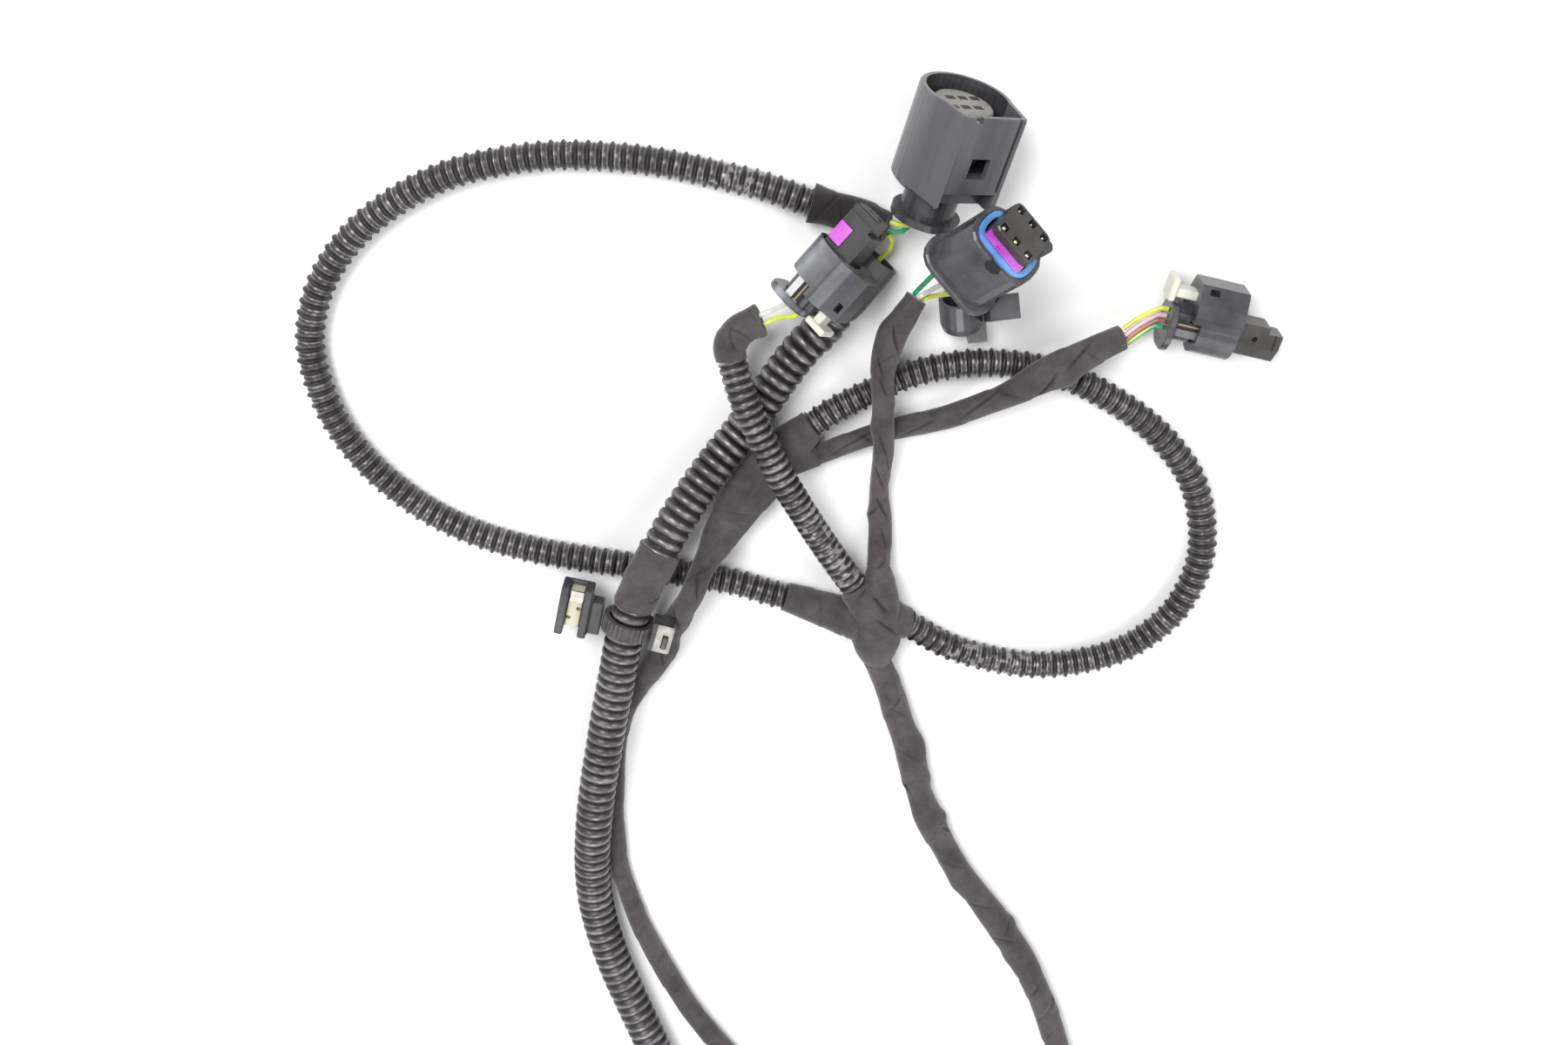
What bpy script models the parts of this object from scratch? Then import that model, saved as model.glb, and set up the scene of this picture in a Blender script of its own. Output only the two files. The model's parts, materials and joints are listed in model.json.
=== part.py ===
# Vehicle wiring harness: corrugated conduits, cloth tape bundles, plugs, a clip and a cable tie.
# Metres, +Z up. The harness lies on its resting plane at z = 0.
import math

import bmesh
import bpy
from mathutils import Matrix, Vector

MM = 0.001

# Clearance between pieces that touch.
GAP = 0.3 * MM

# Routes and plug places are written in plan millimetres, then moved to the middle of the part.
PLAN_SHIFT = Vector((-0.26, 59.66, -0.1)) * MM

# Conduits, wires and tape.
CONDUIT_D = 10.0 * MM
THICK_CONDUIT_D = 13.5 * MM
WIRE_D = 1.7 * MM
SLEEVE_D = 14.3 * MM
SLEEVE_HALF = (SLEEVE_D / 2 / MM, SLEEVE_D / 2 / MM)
END_SLEEVE_D = 14.6 * MM
END_SLEEVE_WALL = 1.2 * MM
END_SLEEVE_DEPTH = 9.0 * MM
BUNDLE_SIDES = 12
CORD_STEP = 2.0
THICK_STEP = 1.2

# Large six-way socket, local +Z to the mouth and +Y to the latch panel.
SOCKET_R = 15.0 * MM
SOCKET_WALL = 1.8 * MM
SOCKET_COLLAR_R = 11.2 * MM
SOCKET_COLLAR_T = 2.4 * MM
SOCKET_NECK_R = 8.8 * MM
SOCKET_NECK_LENGTH = 9.2 * MM
SOCKET_BODY_LENGTH = 31.0 * MM
SOCKET_CAVITY = 20.0 * MM
SOCKET_PANEL_W = 24.0 * MM
SOCKET_PANEL_H = 17.6 * MM
SOCKET_RECESS_LENGTH = 6.0 * MM
SOCKET_WINDOW = 7.0 * MM
SOCKET_INSERT_R = 9.6 * MM
SOCKET_INSERT_SINK = 3.2 * MM
SOCKET_PIN_PITCH = 4.6 * MM
SOCKET_ROW_PITCH = 6.4 * MM
SOCKET_SLOT = (2.8 * MM, 1.5 * MM, 5.0 * MM)

# Six-way plug, local +Z to the insert face and +Y away from the viewed side.
SIX_FLANGE_W = 28.6 * MM
SIX_FLANGE_LOW = 10.4 * MM
SIX_FLANGE_TOP = 5.6 * MM
SIX_FLANGE_T = 2.4 * MM
SIX_BODY_W = 24.6 * MM
SIX_BODY_H = 17.5 * MM
SIX_HEEL_CUT = 3.6 * MM
SIX_HEEL_END = 10.5 * MM
SIX_BODY_LENGTH = 22.0 * MM
SIX_WALL = 1.5 * MM
SIX_CAVITY = 13.0 * MM
SIX_CORNER_R = 7.0 * MM
SIX_INSERT_ROOM = 0.8 * MM
SIX_INSERT_OUT = 6.6 * MM
SIX_INSERT_R = 2.0 * MM
SIX_HEAD_OVER = 4.6 * MM
SIX_HEAD_UP = 0.7 * MM
SIX_NUB_R = 2.2 * MM
SIX_SEAL_T = 1.9 * MM
SIX_SEAL_LENGTH = 6.5 * MM
SIX_SEAL_UP = 0.4 * MM
SIX_LOCK_T = 1.8 * MM
SIX_LOCK_SUNK = 0.9 * MM
SIX_LOCK_LENGTH = 2.4 * MM
SIX_LOCK_RAIL = 0.6 * MM
SIX_WINDOW_R = 2.6 * MM
SIX_WINDOW_DOWN = 1.6 * MM
SIX_PIN_PITCH = 5.3 * MM
SIX_ROW_PITCH = 8.8 * MM
SIX_CELL = (2.4 * MM, 2.2 * MM, 3.0 * MM)

# Sensor plug, used twice, local +Z to the insert nose and +Y to the latch tower.
PLUG_FLANGE_T = 2.4 * MM
PLUG_FLANGE_W = 16.8 * MM
PLUG_FLANGE_LOW = 10.0 * MM
PLUG_FLANGE_TOP = 6.4 * MM
PLUG_NECK_R = 6.4 * MM
PLUG_NECK_LENGTH = 7.4 * MM
PLUG_RIB = 1.3 * MM
PLUG_SHROUD_R = 9.0 * MM
PLUG_SHROUD_LENGTH = 13.0 * MM
PLUG_CAVITY = 9.5 * MM
PLUG_WALL = 1.2 * MM
PLUG_TOWER_W = 11.6 * MM
PLUG_TOWER_TOP = 15.2 * MM
PLUG_TOWER_BACK = 3.0 * MM
PLUG_SHOULDER = 8.0 * MM
PLUG_FACET_OUT = 0.7 * MM
PLUG_FACET_LOW = 2.6 * MM
PLUG_FACET_TOP = 6.9 * MM
PLUG_INSERT_W = 9.4 * MM
PLUG_INSERT_H = 11.6 * MM
PLUG_INSERT_OUT = 15.5 * MM
PLUG_NOSE_STEP = 5.0 * MM
PLUG_PIN_PITCH = 3.6 * MM
PLUG_PIN = 1.6 * MM
PLUG_EYE_R = 0.9 * MM
PLUG_MARK = (17.6 * MM, 1.8 * MM, 3.2 * MM)
PLUG_LOCK = (1.7 * MM, 5.2 * MM, 7.0 * MM)
PLUG_LOCK_UP = 1.2 * MM
PLUG_INSERT_CUT = (2.6 * MM, 4.6 * MM)
PLUG_INSERT_GROOVE = 0.5 * MM
SLIDE_LOCK_W = 6.4 * MM
SLIDE_LOCK_T = 3.0 * MM
SLIDE_LOCK_BASE_W = 9.0 * MM
SLIDE_LOCK_BASE_T = 2.2 * MM
SLIDE_LOCK_REACH = 11.5 * MM
SLIDE_LOCK_TRAVEL = 3.0 * MM
SLIDE_LOCK_BACK = 2.5 * MM

# Plain end plugs on the three long branches.
END_PLUG_WALL = 1.6 * MM
END_PLUG_ROOM = 1.2 * MM
END_PLUG_HOLE = (1.8 * MM, 1.6 * MM, 6.0 * MM)
END_PLUG_THICK = (26.0 * MM, 17.0 * MM, 34.0 * MM)
END_PLUG_TRUNK = (14.0 * MM, 10.4 * MM, 24.0 * MM)
END_PLUG_BRANCH = (17.0 * MM, 12.0 * MM, 28.0 * MM)

# Holder under the six-way plug.
HOLDER_R = 7.0 * MM
HOLDER_WALL = 1.4 * MM
HOLDER_LENGTH = 8.6 * MM
HOLDER_BASE = 3.6 * MM
HOLDER_TAB = (6.4 * MM, 3.6 * MM, 10.0 * MM)
HOLDER_TAB_AT = (-4.8 * MM, -1.0 * MM, -3.6 * MM)
HOLDER_FOOT = (9.4 * MM, 28.0 * MM, 8.0 * MM)
HOLDER_FOOT_AT = (-11.8 * MM, 9.9 * MM, 9.1 * MM)
HOLDER_FOOT_TILT = 31.0
HOLDER_SLIT = 1.0 * MM
HOLDER_SLIT_PITCH = 2.4 * MM

# Edge clip and cable tie.
TIE_WIDTH = 5.6 * MM
TIE_THICKNESS = 1.5 * MM
TIE_TOOTH = 0.5 * MM
TIE_TEETH = 32
TIE_HEAD = (8.0 * MM, 8.6 * MM, 10.6 * MM)
TIE_TAIL_T = 1.4 * MM
TIE_TAIL_W = 4.6 * MM
TIE_TAIL_OUT = 1.2 * MM
CLIP_LENGTH = 18.0 * MM
CLIP_JAW_T = 2.9 * MM
CLIP_MOUTH = 5.2 * MM
CLIP_HEIGHT = 10.0 * MM
CLIP_FLOOR = 2.0 * MM
CLIP_GRIP_HEIGHT = 5.4 * MM
CLIP_GRIP_LENGTH = 13.6 * MM
CLIP_SPRING_T = 0.8 * MM
CLIP_SPRING = (4.4 * MM, 3.4 * MM)
CLIP_SPRING_AT = (0.2 * MM, 6.4 * MM)
CLIP_SHOULDER = (4.8 * MM, 12.0 * MM, 7.0 * MM)
CLIP_NOTCH = (1.6 * MM, 1.3 * MM, 4.0 * MM)
CLIP_NOTCH_PITCH = 3.8 * MM

# Cord routes: (x, y, z) in plan millimetres. Bundles add half width and half height.
LEFT_LOOP = [
    (8.5, 113.0, 6.3), (-6, 118, 5.6), (-22.5, 122, 5.2), (-39, 125.5, 5), (-55.5, 127.3, 5),
    (-72, 127.8, 5), (-89, 126, 5), (-106, 122, 5), (-121.5, 115, 5), (-136, 105, 5), (-147, 93, 5),
    (-153.8, 80.5, 5), (-157, 67, 5), (-156, 54, 5), (-152, 40.5, 5), (-145, 28, 5), (-135.5, 17, 5),
    (-122, 6, 5), (-105.5, -2.5, 5), (-88, -8, 5), (-73, -11, 5), (-57.5, -13.5, 5), (-42.5, -16, 5),
    (-30.5, -18, 5), (-22.5, -19.5, 5), (-15, -21, 5.4), (-6, -23.8, 6), (0.5, -25.4, 6.5),
]
RIGHT_LOOP = [
    (43.6, -35.9, 6.2), (58.5, -45.3, 5.2), (75, -50.8, 5), (90.5, -53, 5), (106, -51.5, 5),
    (121, -46.5, 5), (133.5, -37, 5), (141, -26, 5), (145.3, -11, 5), (144, 5, 5), (139, 19, 5),
    (130, 31, 5), (119.5, 40.5, 5), (107.5, 48.2, 5), (97, 53.5, 5), (84.5, 57.6, 5), (72.5, 59.2, 5),
    (61, 59.2, 5), (49, 57.3, 5), (38, 53.8, 5), (29, 49.3, 5), (17.8, 43.6, 5.5), (9.3, 38.2, 6.4),
]
MIDDLE_CONDUIT = [
    (-17.0, 64.0, 17.8), (-13.2, 51.5, 19.6), (-8, 39.5, 20.3), (-1.3, 25, 19.6), (6.5, 10.3, 16.5),
    (14.5, -4.2, 12.5), (23.65, -18.7, 9.9),
]
THICK_UPPER = [
    (17.9, 79.0, 7.3), (13, 72, 7.2), (7.5, 66.5, 7), (3, 61, 6.9), (-1.8, 54.3, 6.9), (-8.5, 44.3, 6.9),
    (-14.8, 35.6, 7.6), (-22, 27, 9.8), (-30.5, 15.8, 13), (-37.5, 5.3, 15.8), (-42.2, -3.2, 17.5),
]
THICK_LOWER = [
    (-51.8, -23.0, 18.2), (-55.6, -36, 17.6), (-59, -53, 15.9), (-62.2, -68, 14.6), (-65, -83, 13.9),
    (-67.8, -98.5, 13.6), (-70.4, -118, 11.9), (-71.8, -138, 9.0), (-70.6, -158, 7.0), (-66, -178, 6.9),
    (-59.5, -198, 6.9), (-52, -219, 7.4), (-46, -237, 8.6),
]
TRUNK = [
    (-3.4, 23.4, 7, 8, 5.6), (-10.4, 15.7, 6.8, 8.2, 5.4), (-20.5, 1.2, 8, 6.6, 5),
    (-25.6, -7.2, 13, 4.6, 4.2), (-29.4, -14, 15.4, 3.9, 3.8), (-33, -22.2, 15, 3.9, 3.8),
    (-36.4, -30, 10.6, 4.2, 4), (-40.6, -39.4, 5.8, 4.6, 4.2), (-45.3, -51, 4.6, 4.5, 4),
    (-52.3, -62, 4, 4, 3.6), (-57.8, -72.5, 3.6, 3.5, 3.4), (-60.8, -85, 3.4, 3.2, 3.2),
    (-62.4, -103, 3.4, 3.2, 3.2), (-62.9, -121, 3.4, 3.2, 3.2), (-61.8, -141, 3.4, 3.4, 3.2),
    (-56.5, -161, 3.5, 3.7, 3.3), (-48.7, -181, 3.6, 4, 3.4), (-38, -203, 3.7, 4, 3.4),
    (-24, -224, 4.2, 4, 3.4), (-12, -238, 5.2, 3.8, 3.4),
]
RIGHT_BRANCH = [
    (8.15, 25.65, 5.4, 3.4, 3.4), (14.8, 28.2, 4.8, 3.4, 3.4), (29.5, 33.6, 4, 3.6, 3.4),
    (52.8, 40.4, 6.2, 4, 3.4), (72, 49.6, 12, 4.2, 3.4), (88.4, 59.6, 15, 5.6, 3.8),
    (101.5, 66, 12.6, 4.9, 3.9), (110.8, 69.5, 10.2, 4.2, 3.9),
]
UPPER_BRANCH = [
    (42.8, 83.8, 14, 3.6, 3.4), (38, 76.3, 14.5, 4.3, 3.3), (33.6, 68, 14.8, 4.4, 3.2),
    (32.2, 57.8, 15, 3.9, 3.2), (33, 46, 14.2, 3.6, 3.2), (33.2, 33.6, 12, 3.5, 3.2),
    (32.8, 16, 6, 3.2, 3.1), (33.2, 1, 4.6, 3.9, 3.4), (32.8, -13.4, 7, 4, 3.8),
]
LOWER_BRANCH = [
    (33.1, -50.6, 6, 4.8, 4.4), (38, -63, 5, 4.9, 4.3), (42.3, -76.6, 5, 4.9, 4.3),
    (46.7, -91, 5, 5.3, 4.4), (49.4, -104, 4.6, 4.8, 4), (54, -117, 4.8, 5.2, 4.2),
    (62.4, -134, 4.6, 4.7, 4), (71.2, -148, 4.6, 4.8, 4), (81.8, -163.6, 4.7, 5.2, 4.1),
    (91.7, -180, 4.6, 5, 4), (101, -200, 4.6, 4.8, 4), (108, -221, 5, 4.6, 4), (112.5, -236, 6, 4.2, 3.8),
]
TOP_TAPE = [
    (*LEFT_LOOP[0], 5.4, 5.3), (19.5, 110.0, 6.8, 5.8, 5.0), (26.5, 108.2, 9.0, 5.6, 4.9),
    (33.0, 106.4, 11.4, 4.6, 4.2),
]
ELBOW_TAPE = [
    (*MIDDLE_CONDUIT[0], 5.2, 5.2), (-17.4, 69.2, 17.2, 5.4, 5.3), (-14.0, 74.2, 16.8, 5.2, 5.0),
    (-7.4, 77.2, 17.2, 4.4, 4.2),
]
TAPE_SLEEVE = [
    (*THICK_UPPER[-1], *SLEEVE_HALF), (-47.7, -13.8, 18.4, *SLEEVE_HALF), (*THICK_LOWER[0], *SLEEVE_HALF),
]
JUNCTION_LEFT = [(*RIGHT_LOOP[-1], 5.4, 5.3), (1.8, 31, 6.4, 7.2, 5.8), TRUNK[0]]
JUNCTION_RIGHT = [
    UPPER_BRANCH[-1], (33.2, -22, 8.4, 6.6, 6.6), (33.2, -33, 9, 7.6, 7.6), (32.6, -42, 8, 8.4, 7),
    LOWER_BRANCH[0],
]
JUNCTION_ARM = [
    (*LEFT_LOOP[-1], 5.2, 5.2), (12, -29.2, 6.8, 6.2, 5.4), (22, -33, 7.6, 7, 5.8), (31, -36, 8, 7, 6),
]

# Plug places in plan millimetres: back of the plug, direction of its mouth and direction of its latch side.
SOCKET_PLACE = ((44.4, 109.6, 12.6), (0.263, 0.936, 0.236), (0.5, -0.1, 0.86))
SIX_PLACE = ((55.5, 96.5, 30.4), (0.454, 0.500, 0.738), (0.60, 0.44, -0.67))
SMALL_PLACE = ((3.6, 83.0, 20.0), (0.651, 0.757, 0.062), (0.68, -0.53, 0.49))
RIGHT_PLACE = ((124.4, 76.1, 9.6), (0.974, -0.228, 0.0), (0.228, 0.974, 0.10))
END_SLEEVE_PLACE = ((18.0, 79.15, 7.4), (0.627, 0.779, 0.0), (0, 0, 1))
END_SLEEVE_LENGTH = 20.5 * MM
CLIP_PLACE = ((-72.7, -26.4, 8.6), (0, 0, 1), (0.22, 0.975, 0))
HOLDER_PLACE = ((58.2, 74.5, 7.6), (-0.12, 0.955, 0.27), (0, 0, 1))
THICK_END_PLACE = ((-45.8, -237.5, 8.65), (0.316, -0.947, 0.0), (0, 0, 1))
TRUNK_END_PLACE = ((-11.8, -238.3, 5.3), (0.70, -0.714, 0.0), (0, 0, 1))
BRANCH_END_PLACE = ((112.6, -236.4, 6.1), (0.28, -0.96, 0.0), (0, 0, 1))


def clear_scene():
    """Start from an empty scene."""
    for item in list(bpy.data.objects):
        bpy.data.objects.remove(item, do_unlink=True)


def paint(name, colour, roughness, metallic=0.0):
    """A Principled material in the part's own colour."""
    material = bpy.data.materials.new(name)
    material.use_nodes = True
    shader = material.node_tree.nodes["Principled BSDF"]
    shader.inputs["Base Color"].default_value = (*colour, 1.0)
    shader.inputs["Roughness"].default_value = roughness
    shader.inputs["Metallic"].default_value = metallic
    return material


def plan(x, y, z):
    """A plan position in millimetres as a place in the part's frame."""
    return Vector((x, y, z)) * MM + PLAN_SHIFT


def stand(name, place):
    """An empty at a plug's place: its Z runs to the mouth and its Y to the latch side."""
    origin, mouth, latch = place
    z_axis = Vector(mouth).normalized()
    x_axis = Vector(latch).cross(z_axis).normalized()
    y_axis = z_axis.cross(x_axis)
    turn = Matrix((x_axis, y_axis, z_axis)).transposed().to_4x4()
    empty = bpy.data.objects.new(name, None)
    empty.matrix_world = Matrix.Translation(plan(*origin)) @ turn
    bpy.context.collection.objects.link(empty)
    return empty


def arc(radius, start, end, count, centre=(0.0, 0.0)):
    """Points on an arc, angles in degrees."""
    points = []
    for i in range(count):
        angle = math.radians(start + (end - start) * i / (count - 1))
        points.append((centre[0] + radius * math.cos(angle), centre[1] + radius * math.sin(angle)))
    return points


def circle(radius, count=32, centre=(0.0, 0.0)):
    """A closed round outline."""
    return arc(radius, 0.0, 360.0, count + 1, centre)[:-1]


def rounded(width, height, radius, centre=(0.0, 0.0), count=5):
    """A closed rectangle outline with round corners."""
    x, y = width / 2 - radius, height / 2 - radius
    outline = []
    for k, (sx, sy) in enumerate(((1, 1), (-1, 1), (-1, -1), (1, -1))):
        corner = (centre[0] + sx * x, centre[1] + sy * y)
        outline += arc(radius, 90.0 * k, 90.0 * k + 90.0, count, corner)
    return outline


def inner_outline(width, height, radius, depth):
    """A rounded rectangle one wall inside another."""
    return rounded(width - 2 * depth, height - 2 * depth, max(radius - depth, 0.5 * MM), count=4)


def inset(outline, depth):
    """The outline moved inwards by a depth, corner by corner."""
    moved = []
    for i, here in enumerate(outline):
        before, after = outline[i - 1], outline[(i + 1) % len(outline)]
        a = Vector((here[0] - before[0], here[1] - before[1])).normalized()
        b = Vector((after[0] - here[0], after[1] - here[1])).normalized()
        normal = Vector((-a.y - b.y, a.x + b.x)).normalized()
        reach = depth / max(0.5, normal.dot(Vector((-a.y, a.x))))
        moved.append((here[0] + normal.x * reach, here[1] + normal.y * reach))
    return moved


def finish(name, bm, material, parent):
    """Turn a bmesh into an object with its faces pointing out and its round parts smooth."""
    bmesh.ops.recalc_face_normals(bm, faces=bm.faces)
    mesh = bpy.data.meshes.new(name)
    bm.to_mesh(mesh)
    bm.free()
    mesh.shade_smooth()
    mesh.set_sharp_from_angle(angle=math.radians(35.0))
    if material:
        mesh.materials.append(material)
    item = bpy.data.objects.new(name, mesh)
    item.parent = parent
    bpy.context.collection.objects.link(item)
    return item


def ring_faces(bm, rings, closed):
    """Join rings of vertices one after another, with end faces unless the rings close."""
    count = len(rings[0])
    pairs = list(zip(rings, rings[1:]))
    if closed:
        pairs.append((rings[-1], rings[0]))
    for low, high in pairs:
        for i in range(count):
            j = (i + 1) % count
            bm.faces.new((low[i], low[j], high[j], high[i]))
    if not closed:
        bm.faces.new(rings[0])
        bm.faces.new(rings[-1])


def solid(name, sections, material=None, parent=None, closed=False):
    """A solid through outlines stacked along Z; a path that turns back makes a cup."""
    bm = bmesh.new()
    rings = [[bm.verts.new((x, y, z)) for x, y in outline] for outline, z in sections]
    ring_faces(bm, rings, closed)
    return finish(name, bm, material, parent)


def block(name, size, centre, material=None, parent=None, chamfer=0.0):
    """A box from its size and centre, with chamfered edges along Z's ends."""
    w, h, d = size
    outline = rounded(w, h, chamfer, centre[:2], 2) if chamfer else [
        (centre[0] + w / 2, centre[1] + h / 2), (centre[0] - w / 2, centre[1] + h / 2),
        (centre[0] - w / 2, centre[1] - h / 2), (centre[0] + w / 2, centre[1] - h / 2),
    ]
    low, high = centre[2] - d / 2, centre[2] + d / 2
    if not chamfer:
        return solid(name, [(outline, low), (outline, high)], material, parent)
    small = inset(outline, chamfer * 0.8)
    sections = [(small, low), (outline, low + chamfer), (outline, high - chamfer), (small, high)]
    return solid(name, sections, material, parent)


def prism(name, outline, low, high, material=None, parent=None, chamfer=0.0):
    """An outline pulled along Z, with a chamfer at both ends."""
    if not chamfer:
        return solid(name, [(outline, low), (outline, high)], material, parent)
    small = inset(outline, chamfer)
    sections = [(small, low), (outline, low + chamfer), (outline, high - chamfer), (small, high)]
    return solid(name, sections, material, parent)


def guide(item):
    """Mark an object as a tool that only shapes others."""
    item.hide_render = True
    item.display_type = "WIRE"
    return item


def combine(target, operand, operation):
    """One exact Boolean step with a hidden tool."""
    step = target.modifiers.new(operation.lower() + " " + operand.name, "BOOLEAN")
    step.operation = operation
    step.solver = "EXACT"
    step.object = guide(operand)
    return target


def fuse(target, *operands):
    """Make one moulding out of overlapping forms."""
    for operand in operands:
        combine(target, operand, "UNION")


def carve(target, *cutters):
    """Cut openings into a moulding."""
    for cutter in cutters:
        combine(target, cutter, "DIFFERENCE")


def curve_point(p0, p1, p2, p3, t):
    """A point on the smooth curve between p1 and p2."""
    return 0.5 * (
        2.0 * p1 + (p2 - p0) * t + (2.0 * p0 - 5.0 * p1 + 4.0 * p2 - p3) * t * t
        + (3.0 * p1 - p0 - 3.0 * p2 + p3) * t * t * t
    )


def smooth_route(route, samples=24):
    """Dense points on a smooth curve through a route's own points."""
    rows = [Vector(row) for row in route]
    rows = [2.0 * rows[0] - rows[1]] + rows + [2.0 * rows[-1] - rows[-2]]
    dense = []
    for k in range(1, len(rows) - 2):
        for i in range(samples):
            dense.append(curve_point(rows[k - 1], rows[k], rows[k + 1], rows[k + 2], i / samples))
    dense.append(rows[-2])
    return dense


def even_points(route, step, trim):
    """Points at even distances along the smooth route, trimmed at both ends."""
    dense = smooth_route(route)
    reach = [0.0]
    for a, b in zip(dense, dense[1:]):
        reach.append(reach[-1] + (b.xyz - a.xyz).length if len(a) <= 3 else reach[-1] + gap_between(a, b))
    start, end = trim, reach[-1] - trim
    count = max(2, math.ceil((end - start) / step) + 1)
    points, k = [], 0
    for i in range(count):
        goal = start + (end - start) * i / (count - 1)
        while k < len(reach) - 2 and reach[k + 1] < goal:
            k += 1
        share = (goal - reach[k]) / (reach[k + 1] - reach[k])
        points.append(dense[k].lerp(dense[k + 1], share))
    return points


def gap_between(a, b):
    """Distance between two route rows by their places alone."""
    return math.dist(a[:3], b[:3])


def cord_points(route, diameter, step=CORD_STEP):
    """The points of a round cord along its route."""
    return [Vector(point[:3]) for point in even_points(route, step * diameter / MM, GAP / MM / 2)]


def cord(name, route, diameter, material, step=CORD_STEP, resolution=3):
    """A plain round tube along a route in plan millimetres."""
    points = cord_points(route, diameter, step)
    data = bpy.data.curves.new(name, "CURVE")
    data.dimensions = "3D"
    data.bevel_depth = diameter / 2
    data.bevel_resolution = resolution
    data.use_fill_caps = True
    data.materials.append(material)
    spline = data.splines.new("POLY")
    spline.points.add(len(points) - 1)
    for slot, point in zip(spline.points, points):
        slot.co = (*plan(*point), 1.0)
    item = bpy.data.objects.new(name, data)
    bpy.context.collection.objects.link(item)
    return item


def bundle(name, route, material, step=7.0, first=None, last=None):
    """A taped bundle: a flattened tube whose width and height follow its route.

    Its end faces can look along a neighbour's own direction, so the two faces lie parallel.
    """
    rows = even_points(route, step, GAP / MM / 2)
    bm = bmesh.new()
    rings = []
    for i, row in enumerate(rows):
        ahead = Vector(rows[min(i + 1, len(rows) - 1)][:3])
        behind = Vector(rows[max(i - 1, 0)][:3])
        along = (ahead - behind).normalized()
        if first and i == 0:
            along = first.normalized()
        if last and i == len(rows) - 1:
            along = last.normalized()
        side = along.cross(Vector((0, 0, 1))).normalized()
        lift = side.cross(along)
        centre = plan(*row[:3])
        ring = []
        for k in range(BUNDLE_SIDES):
            angle = 2.0 * math.pi * k / BUNDLE_SIDES
            offset = side * (row[3] * MM * math.cos(angle)) + lift * (row[4] * MM * math.sin(angle))
            ring.append(bm.verts.new(centre + offset))
        rings.append(ring)
    ring_faces(bm, rings, False)
    return finish(name, bm, material, None)


def build_cords(paints):
    """Conduits, taped bundles and tape wraps."""
    conduit, cloth = paints["conduit"], paints["cloth"]
    cord("conduit_left_loop", LEFT_LOOP, CONDUIT_D, conduit)
    cord("conduit_right_loop", RIGHT_LOOP, CONDUIT_D, conduit)
    cord("conduit_middle", MIDDLE_CONDUIT, CONDUIT_D, conduit)
    cord("conduit_thick_upper", THICK_UPPER, THICK_CONDUIT_D, conduit, THICK_STEP)
    cord("conduit_thick_lower", THICK_LOWER, THICK_CONDUIT_D, conduit, THICK_STEP)
    left = cord_points(LEFT_LOOP, CONDUIT_D)
    right = cord_points(RIGHT_LOOP, CONDUIT_D)
    middle = cord_points(MIDDLE_CONDUIT, CONDUIT_D)
    upper = cord_points(THICK_UPPER, THICK_CONDUIT_D, THICK_STEP)
    lower = cord_points(THICK_LOWER, THICK_CONDUIT_D, THICK_STEP)
    trunk_way = Vector(TRUNK[1][:3]) - Vector(TRUNK[0][:3])
    north_way = Vector(UPPER_BRANCH[-1][:3]) - Vector(UPPER_BRANCH[-2][:3])
    south_way = Vector(LOWER_BRANCH[1][:3]) - Vector(LOWER_BRANCH[0][:3])
    bundle("tape_sleeve", TAPE_SLEEVE, cloth, 6.0, upper[-1] - upper[-2], lower[1] - lower[0])
    bundle("trunk_bundle", TRUNK, cloth, first=trunk_way)
    bundle("right_branch", RIGHT_BRANCH, cloth, first=Vector((0.69, -0.72, 0.0)))
    bundle("upper_branch", UPPER_BRANCH, cloth, last=north_way)
    bundle("lower_branch", LOWER_BRANCH, cloth, first=south_way)
    bundle("top_tape", TOP_TAPE, cloth, 5.0, left[0] - left[1])
    bundle("elbow_tape", ELBOW_TAPE, cloth, 4.0, middle[0] - middle[1])
    bundle("junction_left", JUNCTION_LEFT, cloth, 5.0, right[-1] - right[-2], trunk_way)
    ball = bundle("junction_right", JUNCTION_RIGHT, cloth, 5.0, north_way, south_way)
    fuse(ball, bundle("guide_junction_arm", JUNCTION_ARM, None, 5.0, left[-1] - left[-2]))
    stand_sleeve = stand("end_sleeve_place", END_SLEEVE_PLACE)
    outer, inner = END_SLEEVE_D / 2, END_SLEEVE_D / 2 - END_SLEEVE_WALL
    top = END_SLEEVE_LENGTH
    sections = [
        (circle(outer * 0.93, 20), 0.0), (circle(outer, 20), 0.2 * top), (circle(outer, 20), top),
        (circle(inner, 20), top), (circle(inner, 20), top - END_SLEEVE_DEPTH),
    ]
    solid("end_sleeve", sections, paints["tape_smooth"], stand_sleeve)


def socket_outline(radius, panel_width, panel_height, count=26):
    """Round at the back, square at the latch panel."""
    half = panel_width / 2
    lean = math.degrees(math.acos(min(0.98, half / radius)))
    outline = arc(radius, 180.0 - lean * 0.62, 360.0 + lean * 0.62, count)
    corner = 1.2 * MM
    outline += [(half, panel_height - corner), (half - corner, panel_height)]
    outline += [(-half + corner, panel_height), (-half, panel_height - corner)]
    return outline


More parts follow.
